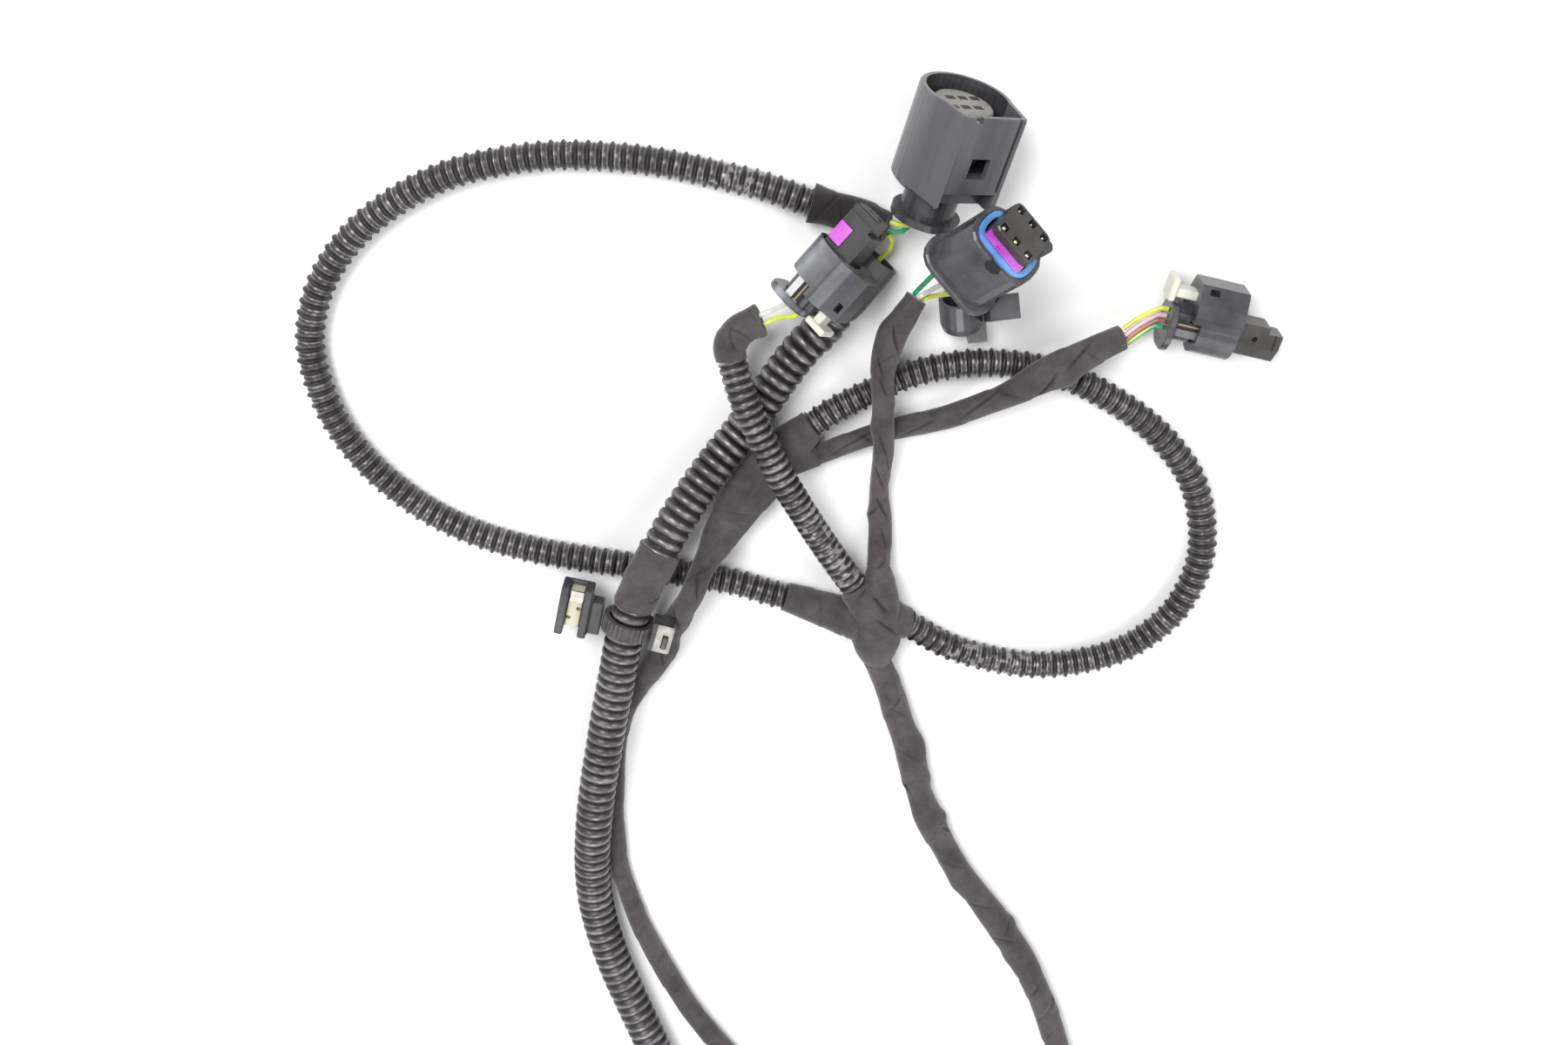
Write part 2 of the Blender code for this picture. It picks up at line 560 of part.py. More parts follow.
def build_socket(paints):
    """The large six-way socket: hooded housing with a latch window, and its insert."""
    place = stand("socket_place", SOCKET_PLACE)
    rear = SOCKET_COLLAR_T + SOCKET_NECK_LENGTH
    mouth = rear + SOCKET_BODY_LENGTH
    floor = mouth - SOCKET_CAVITY
    outer = socket_outline(SOCKET_R, SOCKET_PANEL_W, SOCKET_PANEL_H)
    inner = inset(outer, SOCKET_WALL)
    edge = 0.5 * MM
    sections = [
        (inset(outer, 1.4 * MM), rear), (outer, rear + 1.4 * MM), (outer, mouth - edge),
        (inset(outer, edge), mouth),
        (inner, mouth), (inner, floor),
    ]
    housing = solid("socket_housing", sections, paints["housing"], place)
    neck = solid("guide_socket_neck", [
        (circle(SOCKET_COLLAR_R), 0.0), (circle(SOCKET_COLLAR_R), SOCKET_COLLAR_T),
        (circle(SOCKET_NECK_R), SOCKET_COLLAR_T + 0.01 * MM), (circle(SOCKET_NECK_R), rear + 2.0 * MM),
    ], None, place)
    fuse(housing, neck)
    recess_top = rear + SOCKET_RECESS_LENGTH
    recess_width = SOCKET_PANEL_W - 4.4 * MM
    recess_floor = SOCKET_R * 0.80
    recess_size = (recess_width, 12.0 * MM, SOCKET_RECESS_LENGTH + 6.0 * MM)
    recess = block("guide_socket_recess", recess_size,
                   (1.0 * MM, recess_floor + recess_size[1] / 2, recess_top - recess_size[2] / 2), None, place)
    window = block("guide_socket_window", (SOCKET_WINDOW, 8.0 * MM, SOCKET_WINDOW * 0.95),
                   (0.8 * MM, SOCKET_PANEL_H - 1.0 * MM, rear + 0.47 * SOCKET_BODY_LENGTH), None, place)
    notch = block("guide_socket_notch", (2.6 * MM, 6.0 * MM, 3.2 * MM),
                  (SOCKET_PANEL_W * 0.27, SOCKET_PANEL_H, mouth), None, place)
    groove = block("guide_socket_groove", (1.1 * MM, 1.6 * MM, SOCKET_BODY_LENGTH * 0.78),
                   (-SOCKET_PANEL_W / 2 + 3.0 * MM, SOCKET_PANEL_H, rear + SOCKET_BODY_LENGTH * 0.62), None,
                   place)
    carve(housing, recess, window, notch, groove)
    face = mouth - SOCKET_INSERT_SINK
    insert = solid("socket_insert", [
        (circle(SOCKET_INSERT_R, 28), floor + GAP), (circle(SOCKET_INSERT_R, 28), face - edge),
        (circle(SOCKET_INSERT_R - edge, 28), face),
    ], paints["insert"], place)
    wide, tall, deep = SOCKET_SLOT
    for row in (-1, 1):
        for column in (-1, 0, 1):
            across = (column + row * 0.3) * SOCKET_PIN_PITCH
            centre = (across, row * SOCKET_ROW_PITCH / 2, face)
            carve(insert, block("guide_socket_slot", (wide, tall, 2 * deep), centre, None, place))


def six_flange_outline(room):
    """Outline of the six-way plug's rear flange, widened by some room."""
    height = SIX_FLANGE_LOW + SIX_FLANGE_TOP + 2 * room
    middle = (0.0, (SIX_FLANGE_TOP - SIX_FLANGE_LOW) / 2)
    return rounded(SIX_FLANGE_W + 2 * room, height, SIX_CORNER_R, middle)


def six_lock_low():
    """Height at which the six-way plug's purple lock starts, just above the seal."""
    return SIX_FLANGE_T + SIX_BODY_LENGTH + SIX_SEAL_UP + GAP


def six_housing(paints, place, mouth, inner):
    """Rounded housing with its rear flange, far rail and round window."""
    body = rounded(SIX_BODY_W, SIX_BODY_H, SIX_CORNER_R)
    heel_height = SIX_BODY_H - SIX_HEEL_CUT
    heel = rounded(SIX_BODY_W, heel_height, min(SIX_CORNER_R, heel_height * 0.46), (0.0, -SIX_HEEL_CUT / 2))
    edge = 0.5 * MM
    housing = prism("six_way_housing", six_flange_outline(0.0), 0.0, SIX_FLANGE_T, paints["housing"], place,
                    edge)
    shell = solid("guide_six_body", [
        (heel, SIX_FLANGE_T * 0.4), (heel, SIX_FLANGE_T * 2), (body, SIX_HEEL_END), (body, mouth - edge),
        (inset(body, edge), mouth), (inner, mouth), (inner, mouth - SIX_CAVITY),
    ], None, place)
    reach = SIX_WALL * 2
    window = solid("guide_six_window", [
        (circle(SIX_WINDOW_R, 16), -reach), (circle(SIX_WINDOW_R, 16), reach),
    ], None, place)
    window.location = (SIX_WALL, -SIX_BODY_H / 2, mouth - SIX_WINDOW_DOWN)
    window.rotation_euler = (math.pi / 2, 0.0, 0.0)
    rail = block("guide_six_rail", (SIX_BODY_W * 0.28, SIX_WALL * 2, SIX_BODY_LENGTH * 0.6),
                 (0.0, SIX_BODY_H / 2 + SIX_WALL * 0.4, mouth - SIX_BODY_LENGTH * 0.38), None, place)
    fuse(housing, shell, rail)
    carve(housing, window)


def six_insert(paints, place, mouth, width, height):
    """Insert block with a wider head over the far rim, a side nub and six cells."""
    face = mouth + SIX_INSERT_OUT
    stem = rounded(width, height, SIX_INSERT_R, count=3)
    back = mouth - SIX_CAVITY + GAP
    insert = prism("six_way_insert", stem, back, face, paints["insert_dark"], place, 0.4 * MM)
    head_height = height + SIX_HEAD_OVER
    head = rounded(width, head_height, SIX_INSERT_R, (0.0, SIX_HEAD_OVER / 2), 3)
    cover = prism("guide_six_head", head, mouth + SIX_HEAD_UP, face, None, place, 0.4 * MM)
    middle = (width / 2, SIX_HEAD_OVER / 2 + head_height * 0.28)
    nub = solid("guide_six_nub", [
        (circle(SIX_NUB_R, 14, middle), mouth + SIX_HEAD_UP),
        (circle(SIX_NUB_R, 14, middle), face - 0.6 * MM),
    ], None, place)
    fuse(insert, cover, nub)
    wide, tall, deep = SIX_CELL
    for row in (-1, 1):
        for column in (-1, 0, 1):
            centre = (column * SIX_PIN_PITCH, SIX_HEAD_OVER / 2 + row * SIX_ROW_PITCH / 2, face)
            carve(insert, block("guide_six_cell", (wide, tall, 2 * deep), centre, None, place))
    return insert


def build_six_way(paints):
    """The six-way plug with its blue seal, purple lock and insert block."""
    place = stand("six_way_place", SIX_PLACE)
    mouth = SIX_FLANGE_T + SIX_BODY_LENGTH
    inner = inset(rounded(SIX_BODY_W, SIX_BODY_H, SIX_CORNER_R), SIX_WALL)
    six_housing(paints, place, mouth, inner)
    room = inset(inner, GAP)
    core = inset(room, SIX_SEAL_T)
    low, high = mouth - SIX_SEAL_LENGTH, mouth + SIX_SEAL_UP
    solid("six_way_seal", [(room, low), (room, high), (core, high), (core, low)], paints["seal"], place, True)
    side = SIX_WALL + GAP + SIX_SEAL_T + SIX_INSERT_ROOM
    width, height = SIX_BODY_W - 2 * side, SIX_BODY_H - 2 * side
    insert = six_insert(paints, place, mouth, width, height)
    lock_width = width - 2 * GAP
    lock_low = six_lock_low()
    lock_y = -height / 2 - SIX_LOCK_T / 2 + SIX_LOCK_SUNK
    pocket = block("guide_six_pocket", (width + 2 * GAP, SIX_LOCK_T + 2 * GAP, SIX_LOCK_LENGTH + 2 * GAP),
                   (0.0, lock_y, lock_low + SIX_LOCK_LENGTH / 2), None, place)
    carve(insert, pocket)
    lock = block("six_way_lock", (lock_width, SIX_LOCK_T, SIX_LOCK_LENGTH),
                 (0.0, lock_y, lock_low + SIX_LOCK_LENGTH / 2), paints["lock"], place)
    groove_size = (lock_width * 0.52, 2 * SIX_LOCK_RAIL, SIX_LOCK_LENGTH - 2 * SIX_LOCK_RAIL)
    groove = block("guide_six_lock_groove", groove_size,
                   (lock_width * 0.1, lock_y - SIX_LOCK_T / 2, lock_low + SIX_LOCK_LENGTH / 2), None, place)
    carve(lock, groove)
    return place


def tower_side():
    """Right-hand outline of the latch tower: upright facet, sloped side and top corner."""
    facet = PLUG_SHROUD_R + PLUG_FACET_OUT
    corner = 0.9 * MM
    half = PLUG_TOWER_W / 2
    return [(facet, PLUG_FACET_LOW), (facet, PLUG_FACET_TOP), (half, PLUG_TOWER_TOP - corner),
            (half - corner, PLUG_TOWER_TOP)]


def tower_outline(low):
    """The latch tower's outline, from its facets at a low line up to its flat top."""
    side = tower_side()
    return [(side[0][0], low)] + side[1:] + [(-x, y) for x, y in reversed(side[1:])] + [(-side[0][0], low)]


def plug_outline(count=20):
    """Shroud round below, with a step out to the latch tower above."""
    side = tower_side()
    return arc(PLUG_SHROUD_R, 162.0, 378.0, count) + side + [(-x, y) for x, y in reversed(side)]


def slide_lock_low():
    """Height at which the sliding lock's tongue starts above the plug's axis."""
    return PLUG_SHOULDER + 0.4 * MM


def plug_housing(prefix, place, paints):
    """Flange, ribbed neck and shroud with its latch tower, moulded in one."""
    neck_end = PLUG_FLANGE_T + PLUG_NECK_LENGTH
    mouth = neck_end + PLUG_SHROUD_LENGTH
    height = PLUG_FLANGE_LOW + PLUG_FLANGE_TOP
    rim = rounded(PLUG_FLANGE_W, height, PLUG_FLANGE_W * 0.36, (0.0, (PLUG_FLANGE_TOP - PLUG_FLANGE_LOW) / 2))
    housing = prism(prefix + "_housing", rim, 0.0, PLUG_FLANGE_T, paints["housing"], place, 0.4 * MM)
    neck = solid("guide_plug_neck", [
        (circle(PLUG_NECK_R, 20), PLUG_FLANGE_T * 0.4), (circle(PLUG_NECK_R, 20), neck_end + 1.0 * MM),
    ], None, place)
    shroud = solid("guide_plug_shroud", [(plug_outline(), neck_end), (plug_outline(), mouth)], None, place)
    tower = solid("guide_plug_tower", [
        (tower_outline(PLUG_FACET_LOW + GAP), neck_end - PLUG_TOWER_BACK),
        (tower_outline(PLUG_FACET_LOW + GAP), neck_end + PLUG_TOWER_BACK),
    ], None, place)
    fuse(housing, neck, shroud, tower)
    for side in (-1, 1):
        rib = block("guide_plug_rib", (PLUG_RIB, PLUG_RIB * 2, neck_end),
                    (side * PLUG_NECK_R * 0.93, -PLUG_NECK_R * 0.30, neck_end * 0.62), None, place)
        bar = block("guide_plug_bar", (PLUG_RIB * 1.4, PLUG_RIB, neck_end),
                    (side * PLUG_NECK_R * 0.80, PLUG_NECK_R * 0.62, neck_end * 0.62), None, place)
        fuse(housing, rib, bar)
    cavity = solid("guide_plug_cavity", [
        (circle(PLUG_SHROUD_R - PLUG_WALL, 24), mouth - PLUG_CAVITY),
        (circle(PLUG_SHROUD_R - PLUG_WALL, 24), mouth + 1.0 * MM),
    ], None, place)
    low = slide_lock_low() - GAP
    channel_t = SLIDE_LOCK_T + 2 * GAP
    channel_length = SLIDE_LOCK_REACH + SLIDE_LOCK_TRAVEL + PLUG_FLANGE_T - neck_end + 1.0 * MM
    channel_back = PLUG_TOWER_BACK + 1.0 * MM
    channel = block("guide_plug_channel", (SLIDE_LOCK_W + 2 * GAP, channel_t, channel_length + channel_back),
                    (0.0, low + channel_t / 2, neck_end + (channel_length - channel_back) / 2), None, place)
    mark_y = (low + channel_t + PLUG_TOWER_TOP) / 2
    mark_z = neck_end + PLUG_SHROUD_LENGTH * 0.1
    mark = block("guide_plug_mark", PLUG_MARK, (0.0, mark_y, mark_z), None, place)
    carve(housing, cavity, channel, mark)
    return mouth


def plug_insert(prefix, place, paints, mouth):
    """The insert block with its stepped nose, pin holes and the pocket of its lock."""
    back = mouth - PLUG_CAVITY + GAP
    face = mouth + PLUG_INSERT_OUT
    wide, high = PLUG_INSERT_W / 2, PLUG_INSERT_H / 2
    cut_x, cut_y = PLUG_INSERT_CUT
    outline = [(wide, -high), (wide, high), (-wide, high), (-wide, cut_y - high), (cut_x - wide, -high)]
    insert = prism(prefix + "_insert", outline, back, face, paints["insert_dark"], place, 0.4 * MM)
    for side in (-1, 1):
        groove_size = (2 * PLUG_INSERT_GROOVE, PLUG_INSERT_H * 1.2, PLUG_INSERT_GROOVE * 1.6)
        groove_at = (side * wide, 0.0, face - PLUG_NOSE_STEP * 0.5)
        groove = block("guide_plug_groove", groove_size, groove_at, None, place)
        carve(insert, groove)
    step = block("guide_plug_step", (PLUG_INSERT_W + 2.0 * MM, PLUG_INSERT_H * 0.36, PLUG_NOSE_STEP * 2),
                 (0.0, PLUG_INSERT_H / 2, face), None, place)
    key = block("guide_plug_key", (1.6 * MM, 1.2 * MM, PLUG_INSERT_OUT * 1.6),
                (PLUG_INSERT_W * 0.1, -PLUG_INSERT_H / 2, face + PLUG_INSERT_OUT * 0.4), None, place)
    eye = solid("guide_plug_eye", [
        (circle(PLUG_EYE_R, 12), -2 * PLUG_EYE_R), (circle(PLUG_EYE_R, 12), 2 * PLUG_EYE_R),
    ], None, place)
    eye.location = (-PLUG_INSERT_W / 2, 1.0 * MM, mouth + PLUG_INSERT_OUT * 0.42)
    eye.rotation_euler = (0.0, math.pi / 2, 0.0)
    deep, tall, long = PLUG_LOCK
    lock_y = (tall - PLUG_INSERT_H) / 2
    lock_z = mouth + long / 2 + PLUG_LOCK_UP
    pocket = block("guide_plug_pocket", (2 * deep, tall + 4 * GAP, long + 2 * GAP),
                   (PLUG_INSERT_W / 2, lock_y - GAP, lock_z), None, place)
    carve(insert, step, key, eye, pocket)
    for k in (-1, 0, 1):
        hole = block("guide_plug_hole", (PLUG_PIN, PLUG_PIN, PLUG_PIN * 5),
                     (0.0, k * PLUG_PIN_PITCH - PLUG_PIN, face), None, place)
        carve(insert, hole)
    block(prefix + "_lock", (deep, tall, long),
          (PLUG_INSERT_W / 2 - deep / 2 + GAP, lock_y, lock_z), paints["lock"], place, 0.3 * MM)


def plug_slide_lock(prefix, place, paints, drawn):
    """The off-white lock that slides into the latch tower, drawn back by some length."""
    low = slide_lock_low()
    base_high = PLUG_TOWER_TOP - 0.4 * MM
    base_low = PLUG_FLANGE_TOP + GAP * 2
    blade = (SLIDE_LOCK_BASE_W, base_high - base_low, SLIDE_LOCK_BASE_T)
    blade_at = (0.0, (base_low + base_high) / 2, SLIDE_LOCK_BASE_T / 2 - drawn)
    lock = block(prefix + "_slide_lock", blade, blade_at, paints["slide_lock"], place, 0.4 * MM)
    tip = PLUG_FLANGE_T + SLIDE_LOCK_REACH - drawn
    narrow = SLIDE_LOCK_W * 0.55
    middle = (0.0, low + SLIDE_LOCK_T / 2)
    full = rounded(SLIDE_LOCK_W, SLIDE_LOCK_T, 0.4 * MM, middle, 2)
    tongue = solid("guide_slide_tongue", [
        (full, SLIDE_LOCK_BASE_T * 0.5 - drawn), (full, tip - 2.6 * MM),
        (rounded(narrow, SLIDE_LOCK_T * 0.7, 0.4 * MM, middle, 2), tip),
    ], None, place)
    fuse(lock, tongue)


def build_sensor_plug(prefix, where, paints, drawn=0.0):
    """One three-way sensor plug with its locks."""
    place = stand(prefix + "_place", where)
    mouth = plug_housing(prefix, place, paints)
    plug_insert(prefix, place, paints, mouth)
    plug_slide_lock(prefix, place, paints, drawn)


def build_holder(paints, six_place):
    """The moulded holder under the six-way plug: a cup with a tab and a ribbed foot."""
    place = stand("holder_place", HOLDER_PLACE)
    bore = HOLDER_R - HOLDER_WALL
    cup = solid("plug_holder", [
        (circle(HOLDER_R * 0.62, 20), -HOLDER_BASE), (circle(HOLDER_R * 0.9, 20), -HOLDER_BASE * 0.6),
        (circle(HOLDER_R, 20), 0.0), (circle(HOLDER_R, 20), HOLDER_LENGTH),
        (circle(bore, 20), HOLDER_LENGTH), (circle(bore, 20), HOLDER_WALL),
    ], paints["housing"], place)
    tab = block("guide_holder_tab", HOLDER_TAB, HOLDER_TAB_AT, None, place)
    foot = block("guide_holder_foot", HOLDER_FOOT, (0.0, 0.0, 0.0), None, place)
    foot.location = HOLDER_FOOT_AT
    foot.rotation_euler = (math.radians(HOLDER_FOOT_TILT), 0.0, 0.0)
    fuse(cup, tab, foot)
    for k in range(-4, 4):
        slit = block("guide_holder_slit", (HOLDER_SLIT * 2, HOLDER_SLIT, HOLDER_FOOT[2] * 1.2),
                     (-HOLDER_FOOT[0] / 2, k * HOLDER_SLIT_PITCH, 0.0), None, place)
        slit.location = HOLDER_FOOT_AT
        slit.rotation_euler = (math.radians(HOLDER_FOOT_TILT), 0.0, 0.0)
        carve(cup, slit)
    flange = six_flange_outline(GAP)
    body = rounded(SIX_BODY_W + 2 * GAP, SIX_BODY_H + 2 * GAP, SIX_CORNER_R)
    high = SIX_FLANGE_T + GAP
    carve(cup, solid("guide_holder_flange", [(flange, -GAP), (flange, high)], None, six_place),
          solid("guide_holder_body", [(body, 0.0), (body, SIX_BODY_LENGTH)], None, six_place))


def build_tie(paints):
    """The ribbed band of the cable tie with its head, and the cut tail."""
    points = cord_points(THICK_LOWER, THICK_CONDUIT_D, THICK_STEP)
    place = stand("tie_place", ((points[0] + points[1]) / 2, points[1] - points[0], (0, 0, 1)))
    inner_r = THICK_CONDUIT_D / 2 + GAP
    outer_r = inner_r + TIE_THICKNESS
    outer, inner = [], []
    for k in range(TIE_TEETH * 2):
        angle = math.pi * k / TIE_TEETH
        reach = outer_r + (TIE_TOOTH if k % 2 else 0.0)
        outer.append((reach * math.cos(angle), reach * math.sin(angle)))
        inner.append((inner_r * math.cos(angle), inner_r * math.sin(angle)))
    half = TIE_WIDTH / 2
    band = solid("cable_tie", [(outer, -half), (outer, half), (inner, half), (inner, -half)],
                 paints["tie"], place, True)
    head = block("guide_tie_head", TIE_HEAD, (outer_r + TIE_HEAD[0] / 2 - 0.6 * MM, 1.0 * MM, 0.0), None,
                 place, 0.6 * MM)
    slot = block("guide_tie_slot", (TIE_TAIL_T + 2 * GAP, TIE_HEAD[1] * 2, TIE_TAIL_W + 2 * GAP),
                 (outer_r + TIE_HEAD[0] * 0.62, 1.0 * MM, 0.6 * MM), None, place)
    fuse(band, head)
    carve(band, slot)
    block("tie_tail", (TIE_TAIL_T, TIE_HEAD[1] + 2 * TIE_TAIL_OUT, TIE_TAIL_W),
          (outer_r + TIE_HEAD[0] * 0.62, 1.0 * MM, 0.6 * MM), paints["tie"], place)


def build_clip(paints):
    """The edge clip: a channel with two jaws, its grip and its spring tab."""
    place = stand("clip_place", CLIP_PLACE)
    width = CLIP_MOUTH + 2 * CLIP_JAW_T
    body = block("clip_body", (width, CLIP_LENGTH, CLIP_HEIGHT), (0.0, 0.0, CLIP_HEIGHT / 2), paints["clip"],
                 place)
    mouth = block("guide_clip_mouth", (CLIP_MOUTH, CLIP_LENGTH * 1.2, CLIP_HEIGHT),
                  (0.0, 0.0, CLIP_FLOOR + CLIP_HEIGHT / 2), None, place)
    thick, long, tall = CLIP_SHOULDER
    shoulder = block("guide_clip_shoulder", CLIP_SHOULDER,
                     (width / 2 + thick * 0.42, -long * 0.12, tall * 0.66), None, place)
    carve(body, mouth)
    fuse(body, shoulder)
    bevel = body.modifiers.new("edges", "BEVEL")
    bevel.width = 0.5 * MM
    bevel.segments = 1
    bevel.limit_method = "ANGLE"
    bevel.angle_limit = math.radians(60.0)
    low = CLIP_FLOOR + GAP
    grip = block("clip_grip", (CLIP_MOUTH - 2 * GAP, CLIP_GRIP_LENGTH, CLIP_GRIP_HEIGHT),
                 (0.0, 0.8 * MM, low + CLIP_GRIP_HEIGHT / 2), paints["grip"], place)
    for k, side in enumerate((-1, 1, -1)):
        notch = block("guide_grip_notch", CLIP_NOTCH,
                      (side * CLIP_NOTCH[0] * 0.94, (k - 1) * CLIP_NOTCH_PITCH + 1.0 * MM,
                       low + CLIP_GRIP_HEIGHT), None, place)
        carve(grip, notch)
    reach = low + CLIP_GRIP_HEIGHT + GAP
    wide, long = CLIP_SPRING
    spring = block("clip_spring", (wide, long, CLIP_SPRING_T), (*CLIP_SPRING_AT, reach + 1.0 * MM),
                   paints["spring"], place)
    wing = block("guide_spring_wing", (wide, CLIP_SPRING_T, CLIP_SPRING_T * 3.2),
                 (CLIP_SPRING_AT[0], CLIP_SPRING_AT[1] - (long - CLIP_SPRING_T) / 2, reach + 1.3 * MM), None,
                 place)
    fuse(spring, wing)


def build_end_plug(prefix, where, size, paints):
    """A plain plug that finishes a long branch: hooded housing and insert."""
    place = stand(prefix + "_place", where)
    width, height, length = size
    outer = rounded(width, height, height * 0.22, count=4)
    inner = inner_outline(width, height, height * 0.22, END_PLUG_WALL)
    boot = circle(height * 0.36, 16)
    housing = solid(prefix + "_housing", [
        (outer, 5.0 * MM), (outer, length), (inner, length), (inner, length * 0.5),
    ], paints["housing"], place)
    fuse(housing, solid("guide_end_boot", [(boot, GAP), (boot, 6.0 * MM)], None, place))
    core = inner_outline(width, height, height * 0.22, END_PLUG_WALL + END_PLUG_ROOM)
    face = length - 2.0 * MM
    insert = prism(prefix + "_insert", core, length * 0.5 + GAP, face, paints["insert_dark"], place, 0.4 * MM)
    for k in (-1, 1):
        hole = block("guide_end_hole", END_PLUG_HOLE, (k * width * 0.17, 0.0, face), None, place)
        carve(insert, hole)


# Short bare wires: name, colour, first points in plan millimetres, plug place and spot on the plug's back.
WIRES = [
    ("wire_small_white", "wire_white", [(-7.9, 78.9, 17.6), (-3.8, 80.8, 18.4)], SMALL_PLACE, (1.5, -2.4)),
    ("wire_small_yellow", "wire_yellow", [(-6.5, 75.8, 16.9), (-2.4, 78.0, 17.6)], SMALL_PLACE, (0.4, 2.6)),
    ("wire_right_yellow", "wire_yellow", [(110.8, 72.4, 10.2), (116.2, 76.6, 10.7)], RIGHT_PLACE,
     (-1.2, 3.4)),
    ("wire_right_pink", "wire_pink", [(111.5, 70.7, 11.4), (116.3, 74.6, 11.5)], RIGHT_PLACE, (-1.6, 1.3)),
    ("wire_right_brown", "wire_brown", [(112.1, 69.0, 10.7), (116.5, 72.7, 10.9)], RIGHT_PLACE, (-1.4, -0.8)),
    ("wire_right_green", "wire_green", [(112.6, 67.3, 9.7), (116.7, 70.7, 10.1)], RIGHT_PLACE, (-1.0, -3.0)),
    ("wire_six_green", "wire_green", [(41.9, 85.2, 14.7), (43.6, 88.0, 17.4)], SIX_PLACE, (-5.4, -5.0)),
    ("wire_six_white", "wire_white", [(43.0, 84.1, 15.3), (45.8, 86.6, 17.8)], SIX_PLACE, (-1.0, -5.6)),
    ("wire_six_yellow", "wire_yellow", [(44.4, 83.2, 13.4), (48.0, 85.0, 16.4)], SIX_PLACE, (3.6, -5.6)),
    ("wire_socket_yellow", "wire_yellow", [(33.7, 107.8, 11.7), (37.2, 107.2, 13.0)], SOCKET_PLACE,
     (4.2, 0.6)),
    ("wire_socket_green", "wire_green", [(33.0, 105.2, 11.3), (37.2, 104.6, 11.6)], SOCKET_PLACE,
     (-0.5, -3.6)),
]
SLEEVE_WIRE = [
    (33.3, 103.9, 11.0), (34.6, 101.8, 10.2), (34.2, 98.8, 8.6), (32.2, 96.2, 7.8), (29.0, 93.0, 7.4),
]


def build_wires(paints):
    """The bare wires between bundles and plugs, each one squared up to the back of its plug."""
    for name, colour, route, where, (x, y) in WIRES:
        place = stand(name + "_place", where)
        ends = [place.matrix_world @ Vector((x * MM, y * MM, z)) for z in (-2.4 * MM, -GAP / 2)]
        rows = route + [tuple((end - PLAN_SHIFT) / MM) for end in ends]
        cord(name, rows, WIRE_D, paints[colour], 1.5, 2)
    cord("wire_sleeve_yellow", SLEEVE_WIRE, WIRE_D, paints["wire_yellow"], 1.5, 2)


def make_paints():
    """All colours of the harness."""
    return {
        "conduit": paint("conduit_plastic", (0.030, 0.028, 0.028), 0.36),
        "cloth": paint("cloth_tape", (0.042, 0.036, 0.036), 0.92),
        "tape_smooth": paint("smooth_tape", (0.045, 0.043, 0.043), 0.6),
        "housing": paint("housing_plastic", (0.040, 0.040, 0.043), 0.42),
        "insert": paint("insert_plastic", (0.12, 0.11, 0.10), 0.55),
        "insert_dark": paint("insert_dark_plastic", (0.032, 0.031, 0.030), 0.45),
        "lock": paint("lock_plastic", (0.52, 0.10, 0.58), 0.4),
        "seal": paint("seal_rubber", (0.16, 0.42, 0.80), 0.45),
        "slide_lock": paint("slide_lock_plastic", (0.66, 0.66, 0.58), 0.45),
        "clip": paint("clip_plastic", (0.060, 0.058, 0.062), 0.45),
        "grip": paint("grip_plastic", (0.55, 0.53, 0.43), 0.5),
        "spring": paint("spring_steel", (0.80, 0.76, 0.66), 0.28, 1.0),
        "tie": paint("tie_plastic", (0.075, 0.070, 0.070), 0.42),
        "wire_yellow": paint("wire_yellow", (0.62, 0.70, 0.06), 0.4),
        "wire_green": paint("wire_green", (0.03, 0.36, 0.16), 0.4),
        "wire_white": paint("wire_white", (0.62, 0.62, 0.58), 0.4),
        "wire_pink": paint("wire_pink", (0.60, 0.42, 0.44), 0.4),
        "wire_brown": paint("wire_brown", (0.34, 0.12, 0.08), 0.4),
    }


def main():
    """Build the whole harness."""
    clear_scene()
    paints = make_paints()
    build_cords(paints)
    build_socket(paints)
    six_place = build_six_way(paints)
    build_holder(paints, six_place)
    build_sensor_plug("small_plug", SMALL_PLACE, paints)
    build_sensor_plug("right_plug", RIGHT_PLACE, paints, SLIDE_LOCK_BACK)
    build_tie(paints)
    build_clip(paints)
    build_end_plug("thick_end", THICK_END_PLACE, END_PLUG_THICK, paints)
    build_end_plug("trunk_end", TRUNK_END_PLACE, END_PLUG_TRUNK, paints)
    build_end_plug("branch_end", BRANCH_END_PLACE, END_PLUG_BRANCH, paints)
    build_wires(paints)


main()
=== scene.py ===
# Looks of the vehicle wiring harness: ridged conduits, taped bundles, plugs, clip and cable tie.
import json
import math

